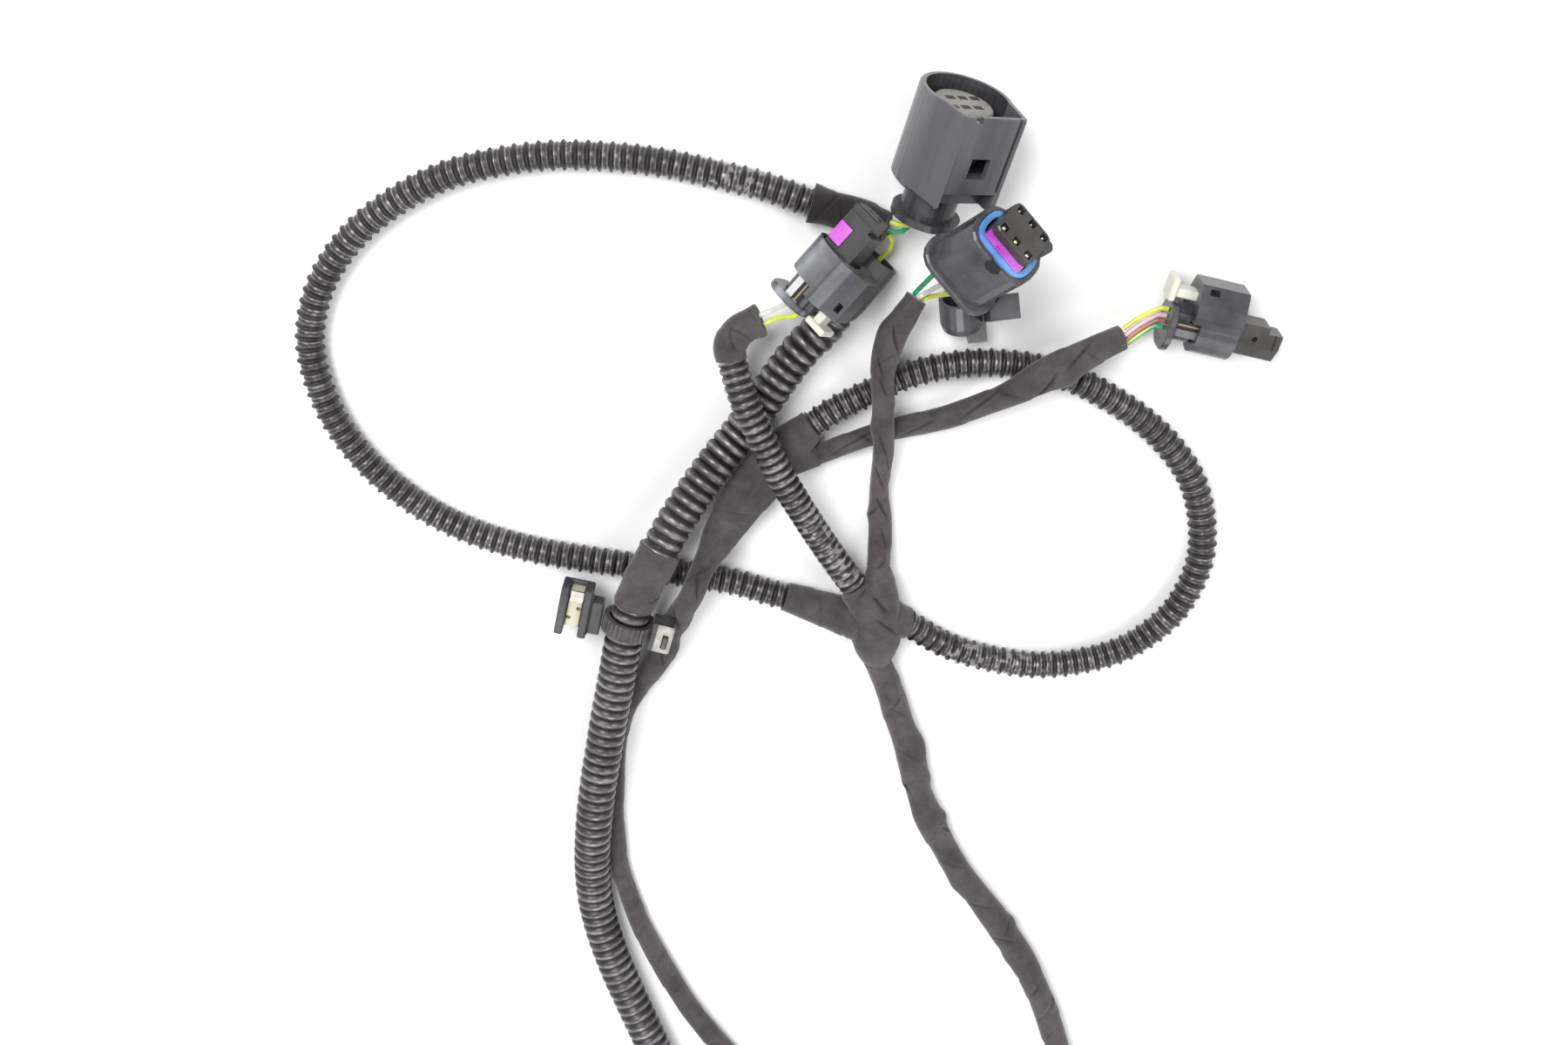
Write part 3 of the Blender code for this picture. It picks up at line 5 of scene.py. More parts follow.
import bmesh
import bpy
from mathutils import Matrix, Vector, noise
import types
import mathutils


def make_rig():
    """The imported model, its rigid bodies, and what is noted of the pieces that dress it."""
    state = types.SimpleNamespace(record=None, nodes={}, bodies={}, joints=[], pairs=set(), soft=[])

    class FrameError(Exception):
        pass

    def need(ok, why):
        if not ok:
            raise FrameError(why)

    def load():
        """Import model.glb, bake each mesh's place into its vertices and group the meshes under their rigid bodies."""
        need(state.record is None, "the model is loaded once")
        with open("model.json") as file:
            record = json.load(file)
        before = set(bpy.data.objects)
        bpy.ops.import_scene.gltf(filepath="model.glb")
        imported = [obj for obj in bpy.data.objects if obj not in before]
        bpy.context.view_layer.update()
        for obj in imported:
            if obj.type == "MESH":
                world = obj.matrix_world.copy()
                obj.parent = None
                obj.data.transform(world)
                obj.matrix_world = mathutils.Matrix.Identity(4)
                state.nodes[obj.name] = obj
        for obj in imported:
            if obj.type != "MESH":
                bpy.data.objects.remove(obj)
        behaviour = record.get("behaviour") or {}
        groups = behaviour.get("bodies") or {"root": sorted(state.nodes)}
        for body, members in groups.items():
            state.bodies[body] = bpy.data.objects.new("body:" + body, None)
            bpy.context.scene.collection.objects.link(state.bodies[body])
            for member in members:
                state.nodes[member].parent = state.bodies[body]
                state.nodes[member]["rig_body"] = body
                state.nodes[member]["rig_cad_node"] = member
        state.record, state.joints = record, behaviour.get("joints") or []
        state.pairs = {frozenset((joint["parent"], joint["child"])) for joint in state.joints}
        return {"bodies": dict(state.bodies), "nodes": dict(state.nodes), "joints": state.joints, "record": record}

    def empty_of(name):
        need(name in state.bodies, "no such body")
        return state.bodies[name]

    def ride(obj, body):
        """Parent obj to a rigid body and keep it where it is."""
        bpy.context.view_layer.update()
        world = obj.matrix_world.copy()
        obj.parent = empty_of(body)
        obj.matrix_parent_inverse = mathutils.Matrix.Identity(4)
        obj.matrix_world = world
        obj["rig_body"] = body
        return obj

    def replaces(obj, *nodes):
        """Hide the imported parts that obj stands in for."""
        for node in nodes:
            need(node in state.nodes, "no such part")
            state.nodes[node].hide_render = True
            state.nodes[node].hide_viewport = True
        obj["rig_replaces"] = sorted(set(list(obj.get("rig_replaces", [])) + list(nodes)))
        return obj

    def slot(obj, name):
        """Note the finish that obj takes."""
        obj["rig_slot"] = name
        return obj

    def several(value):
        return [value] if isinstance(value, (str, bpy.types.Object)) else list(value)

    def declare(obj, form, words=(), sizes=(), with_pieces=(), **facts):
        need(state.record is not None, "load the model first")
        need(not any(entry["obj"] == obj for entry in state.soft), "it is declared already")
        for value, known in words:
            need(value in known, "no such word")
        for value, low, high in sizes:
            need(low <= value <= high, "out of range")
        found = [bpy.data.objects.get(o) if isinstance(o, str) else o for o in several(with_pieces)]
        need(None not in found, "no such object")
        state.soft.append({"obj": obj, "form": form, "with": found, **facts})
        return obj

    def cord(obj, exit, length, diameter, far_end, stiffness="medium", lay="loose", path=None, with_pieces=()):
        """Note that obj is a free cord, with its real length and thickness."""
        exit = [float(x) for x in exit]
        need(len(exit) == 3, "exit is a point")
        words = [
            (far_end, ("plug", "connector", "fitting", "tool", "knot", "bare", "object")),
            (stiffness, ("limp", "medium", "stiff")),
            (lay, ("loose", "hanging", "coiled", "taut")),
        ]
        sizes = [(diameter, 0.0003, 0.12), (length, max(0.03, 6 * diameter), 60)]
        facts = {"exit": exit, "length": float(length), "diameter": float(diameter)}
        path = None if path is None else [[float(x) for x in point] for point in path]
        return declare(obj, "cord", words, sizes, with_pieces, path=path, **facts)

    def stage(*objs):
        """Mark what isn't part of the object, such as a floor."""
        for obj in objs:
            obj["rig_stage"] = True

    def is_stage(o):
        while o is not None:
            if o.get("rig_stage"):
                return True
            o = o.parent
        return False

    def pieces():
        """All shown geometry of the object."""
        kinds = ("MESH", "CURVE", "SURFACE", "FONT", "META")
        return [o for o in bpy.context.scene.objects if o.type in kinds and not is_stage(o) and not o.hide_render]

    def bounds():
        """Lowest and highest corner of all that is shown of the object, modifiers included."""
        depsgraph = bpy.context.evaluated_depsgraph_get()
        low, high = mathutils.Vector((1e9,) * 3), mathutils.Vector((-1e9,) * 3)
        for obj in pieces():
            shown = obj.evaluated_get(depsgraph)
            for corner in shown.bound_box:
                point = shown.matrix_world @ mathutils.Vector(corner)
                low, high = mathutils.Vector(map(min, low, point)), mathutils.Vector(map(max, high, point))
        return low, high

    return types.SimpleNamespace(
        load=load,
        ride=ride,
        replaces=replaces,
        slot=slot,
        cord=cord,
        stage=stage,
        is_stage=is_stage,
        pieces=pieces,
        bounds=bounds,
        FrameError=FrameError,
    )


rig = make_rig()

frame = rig.load()
solid_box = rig.bounds()

MM = 0.001

# Where the part's plan millimetres lie in the frame.
PLAN_SHIFT = Vector((-0.26, 59.66, -0.1)) * MM

# Gap left where one tube ends at the next.
GAP = 0.3 * MM

# Camera: above the plugs' side, tilted towards the long ends.
CAMERA_LENS = 37.94
CAMERA_TILT = 22.0
CAMERA_DISTANCE = 577.0 * MM

# Floor: how far it lies under the part.
FLOOR_DOWN = 0.05 * MM

# Soft lamps: place, width in metres and power.
LAMPS = (
    ("key", (-0.45, 0.75, 1.25), 0.8, 20.0),
    ("fill", (0.9, 0.1, 1.0), 0.8, 6.0),
    ("back", (0.0, -1.0, 0.9), 0.6, 6.0),
)

# Conduit sizes: outer diameter, ridge pitch and the share of the radius left in a groove.
CONDUIT_D = 10.0 * MM
THICK_CONDUIT_D = 13.5 * MM
LOOP_PITCH = 3.8 * MM
MIDDLE_PITCH = 2.9 * MM
THICK_PITCH = 3.95 * MM
GROOVE = 0.79

# Steps along one ridge, steps round a conduit or a bundle, and the step of a cord's own line.
RIDGE_STEPS = 12
CONDUIT_SIDES = 28
THICK_CONDUIT_SIDES = 36
BUNDLE_SIDES = 72
CORD_STEP = 4.0 * MM

# Angle between faces past which their edge is sharp.
SHARP_ANGLE = math.radians(40.0)

# Tubes: height kept above the floor, distance at which points merge, and scale of the cloth's pattern.
FLOOR_CLEAR = 0.02 * MM
MERGE = 0.001 * MM
CLOTH_SCALE = 100.0
CLOTH_ROUND = 2.0 * math.pi * 5.0 * MM

# Cloth tape: how far one turn advances, how thick its edge stands and over what share of a turn it drops.
TAPE_PITCH = 27.0 * MM
WRAP_PITCH = 15.0 * MM
TAPE_EDGE = 0.34 * MM
TAPE_LIP = 0.04

# Cloth tape: depth of its folds, dents and creases, and how far it all sinks.
TAPE_FOLD = 0.75 * MM
TAPE_DENT = 0.42 * MM
TAPE_CREASE = 0.10 * MM
TAPE_SINK = 0.12 * MM

# Steps along a branch and along a short wrap, and how far the torn mouth of a wrap reaches.
BRANCH_STEP = 0.6 * MM
WRAP_STEP = 0.5 * MM
FLARE_REACH = 3.2 * MM

# Painted shade on the tape: depth of a fold whose painted shade is full, and width and darkness of the painted shade
# beside a tape edge.
DARK_FOLD = 0.7 * MM
EDGE_SHADE_WIDTH = 0.03
EDGE_SHADE_DARK = 0.8

# How far round a branch a sharp fold and a bulge reach, in turns.
FOLD_WIDTH = 0.022
BULGE_WIDTH = 0.12

# Places where a taped branch bulges or has a loose corner: distance, turn, height and reach in mm.
BULGES = {
    "right_branch": [(91.5, 0.03, 1.4, 4.2), (80.0, 0.5, 0.5, 7.0)],
    "upper_branch": [
        (19.5, 0.5, 0.9, 5.0), (13.0, 0.0, 0.8, 3.5), (47.0, 0.0, 0.8, 4.0), (83.0, 0.02, 0.6, 3.0),
    ],
    "lower_branch": [
        (37.0, 0.5, 0.9, 4.0), (52.0, 0.5, 0.7, 3.0), (70.5, 0.5, 1.3, 3.0), (100.0, 0.0, 0.9, 4.0),
        (126.0, 0.5, 1.2, 3.5), (140.0, 0.0, 0.7, 4.0),
    ],
    "trunk_bundle": [(52.0, 0.5, 0.8, 6.0), (70.0, 0.5, 1.0, 5.0), (84.0, 0.48, 1.2, 4.0)],
}

# Where a conduit has rubbed most: distance along it and reach in millimetres.
RUBBED = {
    "conduit_left_loop_ridged": [(25.0, 9.0)],
    "conduit_right_loop_ridged": [(33.0, 22.0)],
    "conduit_middle_ridged": [(72.0, 24.0)],
}

# The trunk's wide start at the left junction, up to where it is an even bundle.
TRUNK_FLARE = 24.0 * MM
TRUNK_SEED = 44.4

# Pieces whose finish differs from the rest of their slot.
OWN_FINISH = {
    # The small plug's insert takes a darker copy of the insert plastic; its extra darkness is painted shade.
    "small_plug_insert": "shaded_insert_plastic",
    "small_plug_housing": "small_plug_plastic",
    "right_plug_housing": "right_plug_plastic",
    "socket_housing": "socket_plastic",
    "cable_tie": "tie_band_plastic",
    "wire_right_green": "two_tone_wire",
}

# Fineness of the patterns in the finishes: plastic grain, wire draw marks and tape threads.
GRAIN = 900.0
DRAW_MARKS = 320.0
THREADS = 9.0

# Moulded pieces: dark tone, light tone and roughness.
MOULDED = {
    "housing_plastic": ((0.030, 0.029, 0.033), (0.095, 0.092, 0.100), 0.28),
    "insert_plastic": ((0.14, 0.13, 0.115), (0.30, 0.285, 0.26), 0.45),
    "insert_dark_plastic": ((0.024, 0.022, 0.021), (0.070, 0.065, 0.062), 0.38),
    # A darker copy of the insert plastic: the dark plastic is real, its extra darkness painted shade.
    "shaded_insert_plastic": ((0.008, 0.007, 0.007), (0.034, 0.031, 0.030), 0.36),
    # slot_dark is the near-black that paints the shade inside openings.
    "slot_dark": ((0.004, 0.004, 0.004), (0.009, 0.008, 0.008), 0.6),
    "lock_plastic": ((0.42, 0.05, 0.46), (0.72, 0.22, 0.74), 0.28),
    "slide_lock_plastic": ((0.58, 0.58, 0.50), (0.72, 0.72, 0.64), 0.42),
    "seal_rubber": ((0.08, 0.24, 0.56), (0.19, 0.44, 0.80), 0.42),
    "clip_plastic": ((0.045, 0.043, 0.047), (0.085, 0.082, 0.088), 0.42),
    "grip_plastic": ((0.45, 0.43, 0.33), (0.62, 0.60, 0.48), 0.5),
    "tie_plastic": ((0.05, 0.046, 0.046), (0.10, 0.094, 0.094), 0.4),
    "smooth_tape": ((0.035, 0.033, 0.034), (0.062, 0.060, 0.060), 0.5),
}

# Metal pieces: colour and roughness.
METALS = {"spring_steel": ((0.82, 0.78, 0.68), 0.3), "terminal_gold": ((0.86, 0.74, 0.50), 0.28)}

# Wires: colour.
WIRES = {
    "wire_yellow": (0.62, 0.70, 0.06),
    "wire_green": (0.03, 0.36, 0.16),
    "wire_white": (0.66, 0.66, 0.62),
    "wire_pink": (0.62, 0.44, 0.46),
    "wire_brown": (0.34, 0.12, 0.08),
}

# Painted highlight and shade bands of the sensor plugs, from the underside up: their lowest and highest place, then
# share and brightness.
PLUG_PAINTED_LIGHT_LOW = -9.0 * MM
PLUG_PAINTED_LIGHT_HIGH = 15.0 * MM
PLUG_PAINTED_LIGHT_BANDS = (
    (0.0, 0.5), (0.10, 0.6), (0.17, 1.9), (0.24, 1.7), (0.36, 0.9), (0.54, 0.8), (0.58, 0.45),
    (0.61, 1.15), (0.75, 1.1), (0.78, 0.5), (1.0, 0.45),
)

# The two-tone wire: a plan point on the line between its colours, and the direction across it.
STRIPE_LINE = (114.6, 69.0, 9.9)
STRIPE_ACROSS = (-0.64, 0.77, 0.0)

# The cable tie: its place on the conduit, and where the cut face of its head begins.
TIE_PLACE = ((-52.0, -23.6, 18.2), (-0.28, -0.96, -0.045), (0, 0, 1))
TIE_HEAD_SIDE = 10.2 * MM
TIE_HEAD_BACK = 0.6 * MM

# Routes in plan millimetres; bundles add half width and half height.
LEFT_LOOP = [
    (8.5, 113.0, 6.3), (-6, 118, 5.6), (-22.5, 122, 5.2), (-39, 125.5, 5), (-55.5, 127.3, 5),
    (-72, 127.8, 5), (-89, 126, 5), (-106, 122, 5), (-121.5, 115, 5), (-136, 105, 5), (-147, 93, 5),
    (-153.8, 80.5, 5), (-157, 67, 5), (-156, 54, 5), (-152, 40.5, 5), (-145, 28, 5), (-135.5, 17, 5),
    (-122, 6, 5), (-105.5, -2.5, 5), (-88, -8, 5), (-73, -11, 5), (-57.5, -13.5, 5), (-42.5, -16, 5),
    (-30.5, -18, 5), (-22.5, -19.5, 5), (-15, -21, 5.4), (-6, -23.8, 6), (0.5, -25.4, 6.5),
]
RIGHT_LOOP = [
    (43.6, -35.9, 6.2), (58.5, -45.3, 5.2), (75, -50.8, 5), (90.5, -53, 5), (106, -51.5, 5),
    (121, -46.5, 5), (133.5, -37, 5), (141, -26, 5), (145.3, -11, 5), (144, 5, 5), (139, 19, 5),
    (130, 31, 5), (119.5, 40.5, 5), (107.5, 48.2, 5), (97, 53.5, 5), (84.5, 57.6, 5), (72.5, 59.2, 5),
    (61, 59.2, 5), (49, 57.3, 5), (38, 53.8, 5), (29, 49.3, 5), (17.8, 43.6, 5.5), (9.3, 38.2, 6.4),
]
MIDDLE_CONDUIT = [
    (-17.0, 64.0, 17.8), (-13.2, 51.5, 19.6), (-8, 39.5, 20.3), (-1.3, 25, 19.6), (6.5, 10.3, 16.5),
    (14.5, -4.2, 12.5), (23.65, -18.7, 9.9),
]
THICK_UPPER = [
    (17.9, 79.0, 7.3), (13, 72, 7.2), (7.5, 66.5, 7), (3, 61, 6.9), (-1.8, 54.3, 6.9), (-8.5, 44.3, 6.9),
    (-14.8, 35.6, 7.6), (-22, 27, 9.8), (-30.5, 15.8, 13), (-37.5, 5.3, 15.8), (-42.2, -3.2, 17.5),
]
THICK_LOWER = [
    (-51.8, -23.0, 18.2), (-55.6, -36, 17.6), (-59, -53, 15.9), (-62.2, -68, 14.6), (-65, -83, 13.9),
    (-67.8, -98.5, 13.6), (-70.4, -118, 11.9), (-71.8, -138, 9.0), (-70.6, -158, 7.0), (-66, -178, 6.9),
    (-59.5, -198, 6.9), (-52, -219, 7.4), (-46, -237, 8.6),
]
TRUNK = [
    (-3.4, 23.4, 7, 8, 5.6), (-10.4, 15.7, 6.8, 8.2, 5.4), (-20.5, 1.2, 8, 6.6, 5),
    (-25.6, -7.2, 13, 4.6, 4.2), (-29.4, -14, 15.4, 3.9, 3.8), (-33, -22.2, 15, 3.9, 3.8),
    (-36.4, -30, 10.6, 4.2, 4), (-40.6, -39.4, 5.8, 4.6, 4.2), (-45.3, -51, 4.6, 4.5, 4),
    (-52.3, -62, 4, 4, 3.6), (-57.8, -72.5, 3.6, 3.5, 3.4), (-60.8, -85, 3.4, 3.2, 3.2),
    (-62.4, -103, 3.4, 3.2, 3.2), (-62.9, -121, 3.4, 3.2, 3.2), (-61.8, -141, 3.4, 3.4, 3.2),
    (-56.5, -161, 3.5, 3.7, 3.3), (-48.7, -181, 3.6, 4, 3.4), (-38, -203, 3.7, 4, 3.4),
    (-24, -224, 4.2, 4, 3.4), (-12, -238, 5.2, 3.8, 3.4),
]
RIGHT_BRANCH = [
    (8.15, 25.65, 5.4, 3.4, 3.4), (14.8, 28.2, 4.8, 3.4, 3.4), (29.5, 33.6, 4, 3.6, 3.4),
    (52.8, 40.4, 6.2, 4, 3.4), (72, 49.6, 12, 4.2, 3.4), (88.4, 59.6, 15, 5.6, 3.8),
    (101.5, 66, 12.6, 4.9, 3.9), (110.8, 69.5, 10.2, 4.2, 3.9),
]
UPPER_BRANCH = [
    (42.8, 83.8, 14, 3.6, 3.4), (38, 76.3, 14.5, 4.3, 3.3), (33.6, 68, 14.8, 4.4, 3.2),
    (32.2, 57.8, 15, 3.9, 3.2), (33, 46, 14.2, 3.6, 3.2), (33.2, 33.6, 12, 3.5, 3.2),
    (32.8, 16, 6, 3.2, 3.1), (33.2, 1, 4.6, 3.9, 3.4), (32.8, -13.4, 7, 4, 3.8),
]
LOWER_BRANCH = [
    (33.1, -50.6, 6, 4.8, 4.4), (38, -63, 5, 4.9, 4.3), (42.3, -76.6, 5, 4.9, 4.3),
    (46.7, -91, 5, 5.3, 4.4), (49.4, -104, 4.6, 4.8, 4), (54, -117, 4.8, 5.2, 4.2),
    (62.4, -134, 4.6, 4.7, 4), (71.2, -148, 4.6, 4.8, 4), (81.8, -163.6, 4.7, 5.2, 4.1),
    (91.7, -180, 4.6, 5, 4), (101, -200, 4.6, 4.8, 4), (108, -221, 5, 4.6, 4),
    (112.5, -236, 6, 4.2, 3.8),
]
TOP_TAPE = [
    (*LEFT_LOOP[0], 5.4, 5.3), (19.5, 110.0, 6.8, 5.8, 5.0), (26.5, 108.2, 9.0, 5.6, 4.9),
    (33.0, 106.4, 11.4, 4.6, 4.2),
]
ELBOW_TAPE = [
    (*MIDDLE_CONDUIT[0], 5.2, 5.2), (-17.4, 69.2, 17.2, 5.4, 5.3), (-14.0, 74.2, 16.8, 5.2, 5.0),
    (-7.4, 77.2, 17.2, 4.4, 4.2),
]
TAPE_SLEEVE = [
    (*THICK_UPPER[-1], 7.15, 7.15), (-47.7, -13.8, 18.4, 7.15, 7.15), (*THICK_LOWER[0], 7.15, 7.15),
]
JUNCTION_LEFT = [(*RIGHT_LOOP[-1], 5.4, 5.3), (1.8, 31, 6.4, 7.2, 5.8), TRUNK[0]]
JUNCTION_RIGHT = [
    UPPER_BRANCH[-1], (33.2, -22, 8.4, 6.6, 6.6), (33.2, -33, 9, 7.6, 7.6), (32.6, -42, 8, 8.4, 7),
    LOWER_BRANCH[0],
]
JUNCTION_MOUTH = [
    (33.0, -31.5, 8.4, 7.4, 6.8), (39.0, -34.0, 7.4, 6.4, 6.1), (43.4, -35.8, 6.3, 5.6, 5.5),
]
JUNCTION_COLLAR = [
    (31.8, -31.5, 9.4, 6.8, 6.4), (27.6, -25.0, 9.9, 6.0, 5.8), (24.9, -20.8, 9.9, 5.7, 5.6),
]
JUNCTION_FORK = [(-1.5, 24.6, 6.4, 6.2, 5.0), (5.0, 25.4, 5.8, 4.8, 4.3), (11.5, 27.0, 5.1, 3.9, 3.7)]
JUNCTION_ARM = [
    (*LEFT_LOOP[-1], 5.2, 5.2), (12, -29.2, 6.8, 6.2, 5.4), (22, -33, 7.6, 7, 5.8), (31, -36, 8, 7, 6),
]

# Sensor plug, measured along its place: ends, top and soft rim of its black neck, and height of its rods, across which
# their painted reflections are laid.
PLUG_NECK_BACK = 2.5 * MM
PLUG_NECK_FRONT = 9.75 * MM
PLUG_NECK_TOP = 2.65 * MM
PLUG_NECK_SOFT = 0.05 * MM
PLUG_RODS_HIGH = 7.0 * MM

# Plug places: back of the plug, direction of its mouth and direction of its latch side.
SOCKET_PLACE = ((44.4, 109.6, 12.6), (0.263, 0.936, 0.236), (0.5, -0.1, 0.86))
SIX_PLACE = ((55.5, 96.5, 30.4), (0.454, 0.500, 0.738), (0.60, 0.44, -0.67))
SMALL_PLACE = ((3.6, 83.0, 20.0), (0.651, 0.757, 0.062), (0.68, -0.53, 0.49))
RIGHT_PLACE = ((124.4, 76.1, 9.6), (0.974, -0.228, 0.0), (0.228, 0.974, 0.10))

# Six-way plug, measured along its place: mouth, insert face, cells and window.
SIX_MOUTH = 24.4 * MM
SIX_FACE = 31.0 * MM
SIX_BODY_H = 17.5 * MM
SIX_WALL = 1.5 * MM
SIX_WINDOW_R = 2.6 * MM
SIX_WINDOW_DOWN = 1.6 * MM
SIX_WINDOW_OVER = 1.5 * MM
SIX_WINDOW_GAP = 0.06 * MM
SIX_PIN_PITCH = 5.3 * MM
SIX_ROW_PITCH = 8.8 * MM
SIX_HEAD_OVER = 4.6 * MM
SIX_CELL = (2.4 * MM, 2.2 * MM, 3.0 * MM)

# Socket: painted shade in the hollow inside its shroud and on its neck, insert face and its slots.
SOCKET_HOLLOW_R = 13.2 * MM
SOCKET_HOLLOW_BACK = 22.1 * MM
SOCKET_NECK = 11.6 * MM
SOCKET_FACE = 39.4 * MM
SOCKET_PIN_PITCH = 4.6 * MM
SOCKET_ROW_PITCH = 6.4 * MM
SOCKET_SLOT = (3.3 * MM, 2.4 * MM, 5.0 * MM)
SOCKET_SLOT_PROUD = 0.06 * MM
SOCKET_SLOT_GAP = 0.1 * MM

# Sharp folds in the tape: distance, turn, slope in turns per millimetre, reach and depth in millimetres.
FOLDS = {
    "upper_branch": [
        (15.5, 0.30, 0.030, 4.0, 0.9), (25.0, 0.20, 0.016, 3.5, 0.7), (31.5, 0.25, 0.014, 3.0, 0.8),
        (52.5, 0.24, 0.016, 3.6, 0.9), (60.0, 0.34, 0.010, 3.0, 0.5), (66.0, 0.22, 0.018, 4.6, 0.9),
        (79.0, 0.27, 0.020, 4.0, 0.9), (91.0, 0.30, 0.012, 4.0, 0.5),
    ],
    "right_branch": [
        (18.0, 0.30, 0.008, 9.0, 0.5), (40.0, 0.24, 0.010, 6.0, 0.5), (62.0, 0.30, 0.012, 8.0, 0.6),
        (84.0, 0.14, 0.020, 5.0, 0.9), (97.0, 0.30, 0.014, 5.0, 0.6),
    ],
    "lower_branch": [
        (22.0, 0.30, 0.030, 3.0, 0.35), (38.0, 0.20, 0.032, 2.6, 0.3), (53.0, 0.08, 0.020, 2.6, 0.8),
        (76.0, 0.42, 0.020, 2.2, 0.8), (92.0, 0.30, 0.028, 3.0, 0.3), (112.0, 0.24, 0.030, 3.0, 0.5),
        (130.0, 0.22, 0.030, 3.0, 0.5),
    ],
    "trunk_bundle": [
        (50.0, 0.28, 0.020, 4.0, 0.7), (66.0, 0.24, 0.022, 4.0, 0.7), (86.0, 0.26, 0.022, 4.0, 0.6),
    ],
    "top_tape": [(5.0, 0.28, 0.05, 3.0, 0.7), (12.0, 0.22, 0.04, 3.0, 0.7)],
    "elbow_tape": [(7.0, 0.26, 0.03, 3.0, 0.5)],
    "junction_right": [(12.0, 0.25, 0.02, 3.0, 0.7), (20.0, 0.32, 0.03, 3.0, 0.7)],
}


def plan(x, y, z):
    """A plan position in millimetres as a place in the frame."""
    return Vector((x, y, z)) * MM + PLAN_SHIFT


def stand(place):
    """The frame of a plug: its mouth along local Z, its latch side along local Y."""
    spot, forward, upward = place
    z = Vector(forward).normalized()
    y = Vector(upward)
    y = (y - z * y.dot(z)).normalized()
    x = y.cross(z)
    turned = Matrix((x, y, z)).transposed().to_4x4()
    return Matrix.Translation(plan(*spot)) @ turned


def make_camera():
    """The photograph's view: high over the part, tilted, no shift."""
    tilt = math.radians(CAMERA_TILT)
    data = bpy.data.cameras.new("camera")
    data.lens = CAMERA_LENS
    data.sensor_width = 36.0
    data.clip_start, data.clip_end = 0.01, 10.0
    camera = bpy.data.objects.new("camera", data)
    camera.location = plan(0, 0, 0) + CAMERA_DISTANCE * Vector((0.0, math.sin(tilt), math.cos(tilt)))
    camera.rotation_euler = (-tilt, 0.0, 0.0)
    bpy.context.collection.objects.link(camera)
    bpy.context.scene.camera = camera


def curve_point(p0, p1, p2, p3, t):
    """A point on the smooth curve between p1 and p2."""
    return 0.5 * (
        2.0 * p1 + (p2 - p0) * t + (2.0 * p0 - 5.0 * p1 + 4.0 * p2 - p3) * t * t
        + (3.0 * p1 - p0 - 3.0 * p2 + p3) * t * t * t
    )


class Path:
    """A smooth route with its distances, so that a place along it can be asked for."""

    def __init__(self, route, samples=24):
        rows = [Vector((*plan(*row[:3]), *[value * MM for value in row[3:]])) for row in route]
        rows = [2.0 * rows[0] - rows[1]] + rows + [2.0 * rows[-1] - rows[-2]]
        self.rows = []
        for k in range(1, len(rows) - 2):
            for i in range(samples):
                self.rows.append(curve_point(rows[k - 1], rows[k], rows[k + 1], rows[k + 2], i / samples))
        self.rows.append(rows[-2])
        self.reach = [0.0]
        for a, b in zip(self.rows, self.rows[1:]):
            self.reach.append(self.reach[-1] + math.dist(a[:3], b[:3]))
        self.length = self.reach[-1]
        self.last = 0

    def row(self, distance):
        """The route's row at a distance from its start."""
        distance = min(max(distance, 0.0), self.length)
        if self.reach[self.last] > distance:
            self.last = 0
        while self.last < len(self.reach) - 2 and self.reach[self.last + 1] < distance:
            self.last += 1
        k = self.last
        share = (distance - self.reach[k]) / (self.reach[k + 1] - self.reach[k])
        return self.rows[k].lerp(self.rows[k + 1], share)

    def frame(self, distance, span=1.0 * MM):
        """Centre, sideways direction and upward direction at a distance."""
        here = self.row(distance)
        behind, ahead = self.row(distance - span), self.row(distance + span)
        along = (Vector(ahead[:3]) - Vector(behind[:3])).normalized()
        side = along.cross(Vector((0.0, 0.0, 1.0))).normalized()
        return here, side, side.cross(along)

    def line(self, step, start=0.0):
        """Centre points at even distances, for a cord's own line."""
        reach = self.length - start
        count = max(2, round(reach / step))
        return [Vector(self.row(start + reach * i / count)[:3]) for i in range(count + 1)]


def rolled_tube(name, path, reach, sides, steps, start=0.0, end=None, wear_and_painted_light=None):
    """A tube rolled from a flat grid along a path; reach gives its radii, and the last function gives each point its
    real wear together with its painted highlight and shade.
    """
    bm = bmesh.new()
    bm.loops.layers.uv.new("UVMap")
    wear_and_light_layer = bm.verts.layers.float.new("wear_and_painted_light") if wear_and_painted_light else None
    bmesh.ops.create_grid(bm, x_segments=steps, y_segments=sides, size=0.5, calc_uvs=True)
    low, high = start + GAP / 2, (end or path.length) - GAP / 2
    for vertex in sorted(bm.verts, key=lambda v: v.co.x):
        distance = low + (high - low) * (vertex.co.x + 0.5)
        turn = (vertex.co.y + 0.5) % 1.0
        row, side, lift = path.frame(distance)
        angle = 2.0 * math.pi * turn
        wide, tall = reach(distance, turn, row)
        spot = Vector(row[:3]) + side * (wide * math.cos(angle)) + lift * (tall * math.sin(angle))
        spot.z = max(spot.z, FLOOR_CLEAR)
        vertex.co = spot
        if wear_and_painted_light:
            # Each point stores its real wear together with its painted highlight and shade.
            vertex[wear_and_light_layer] = wear_and_painted_light(distance, turn)
    bmesh.ops.remove_doubles(bm, verts=bm.verts, dist=MERGE)
    uv = bm.loops.layers.uv.active
    for face in bm.faces:
        for loop in face.loops:
            flat = loop[uv].uv
            loop[uv].uv = (flat.x * path.length * CLOTH_SCALE, flat.y * CLOTH_ROUND * CLOTH_SCALE)
    rims = [edge for edge in bm.edges if edge.is_boundary]
    bmesh.ops.holes_fill(bm, edges=rims, sides=0)
    return finish_mesh(name, bm)


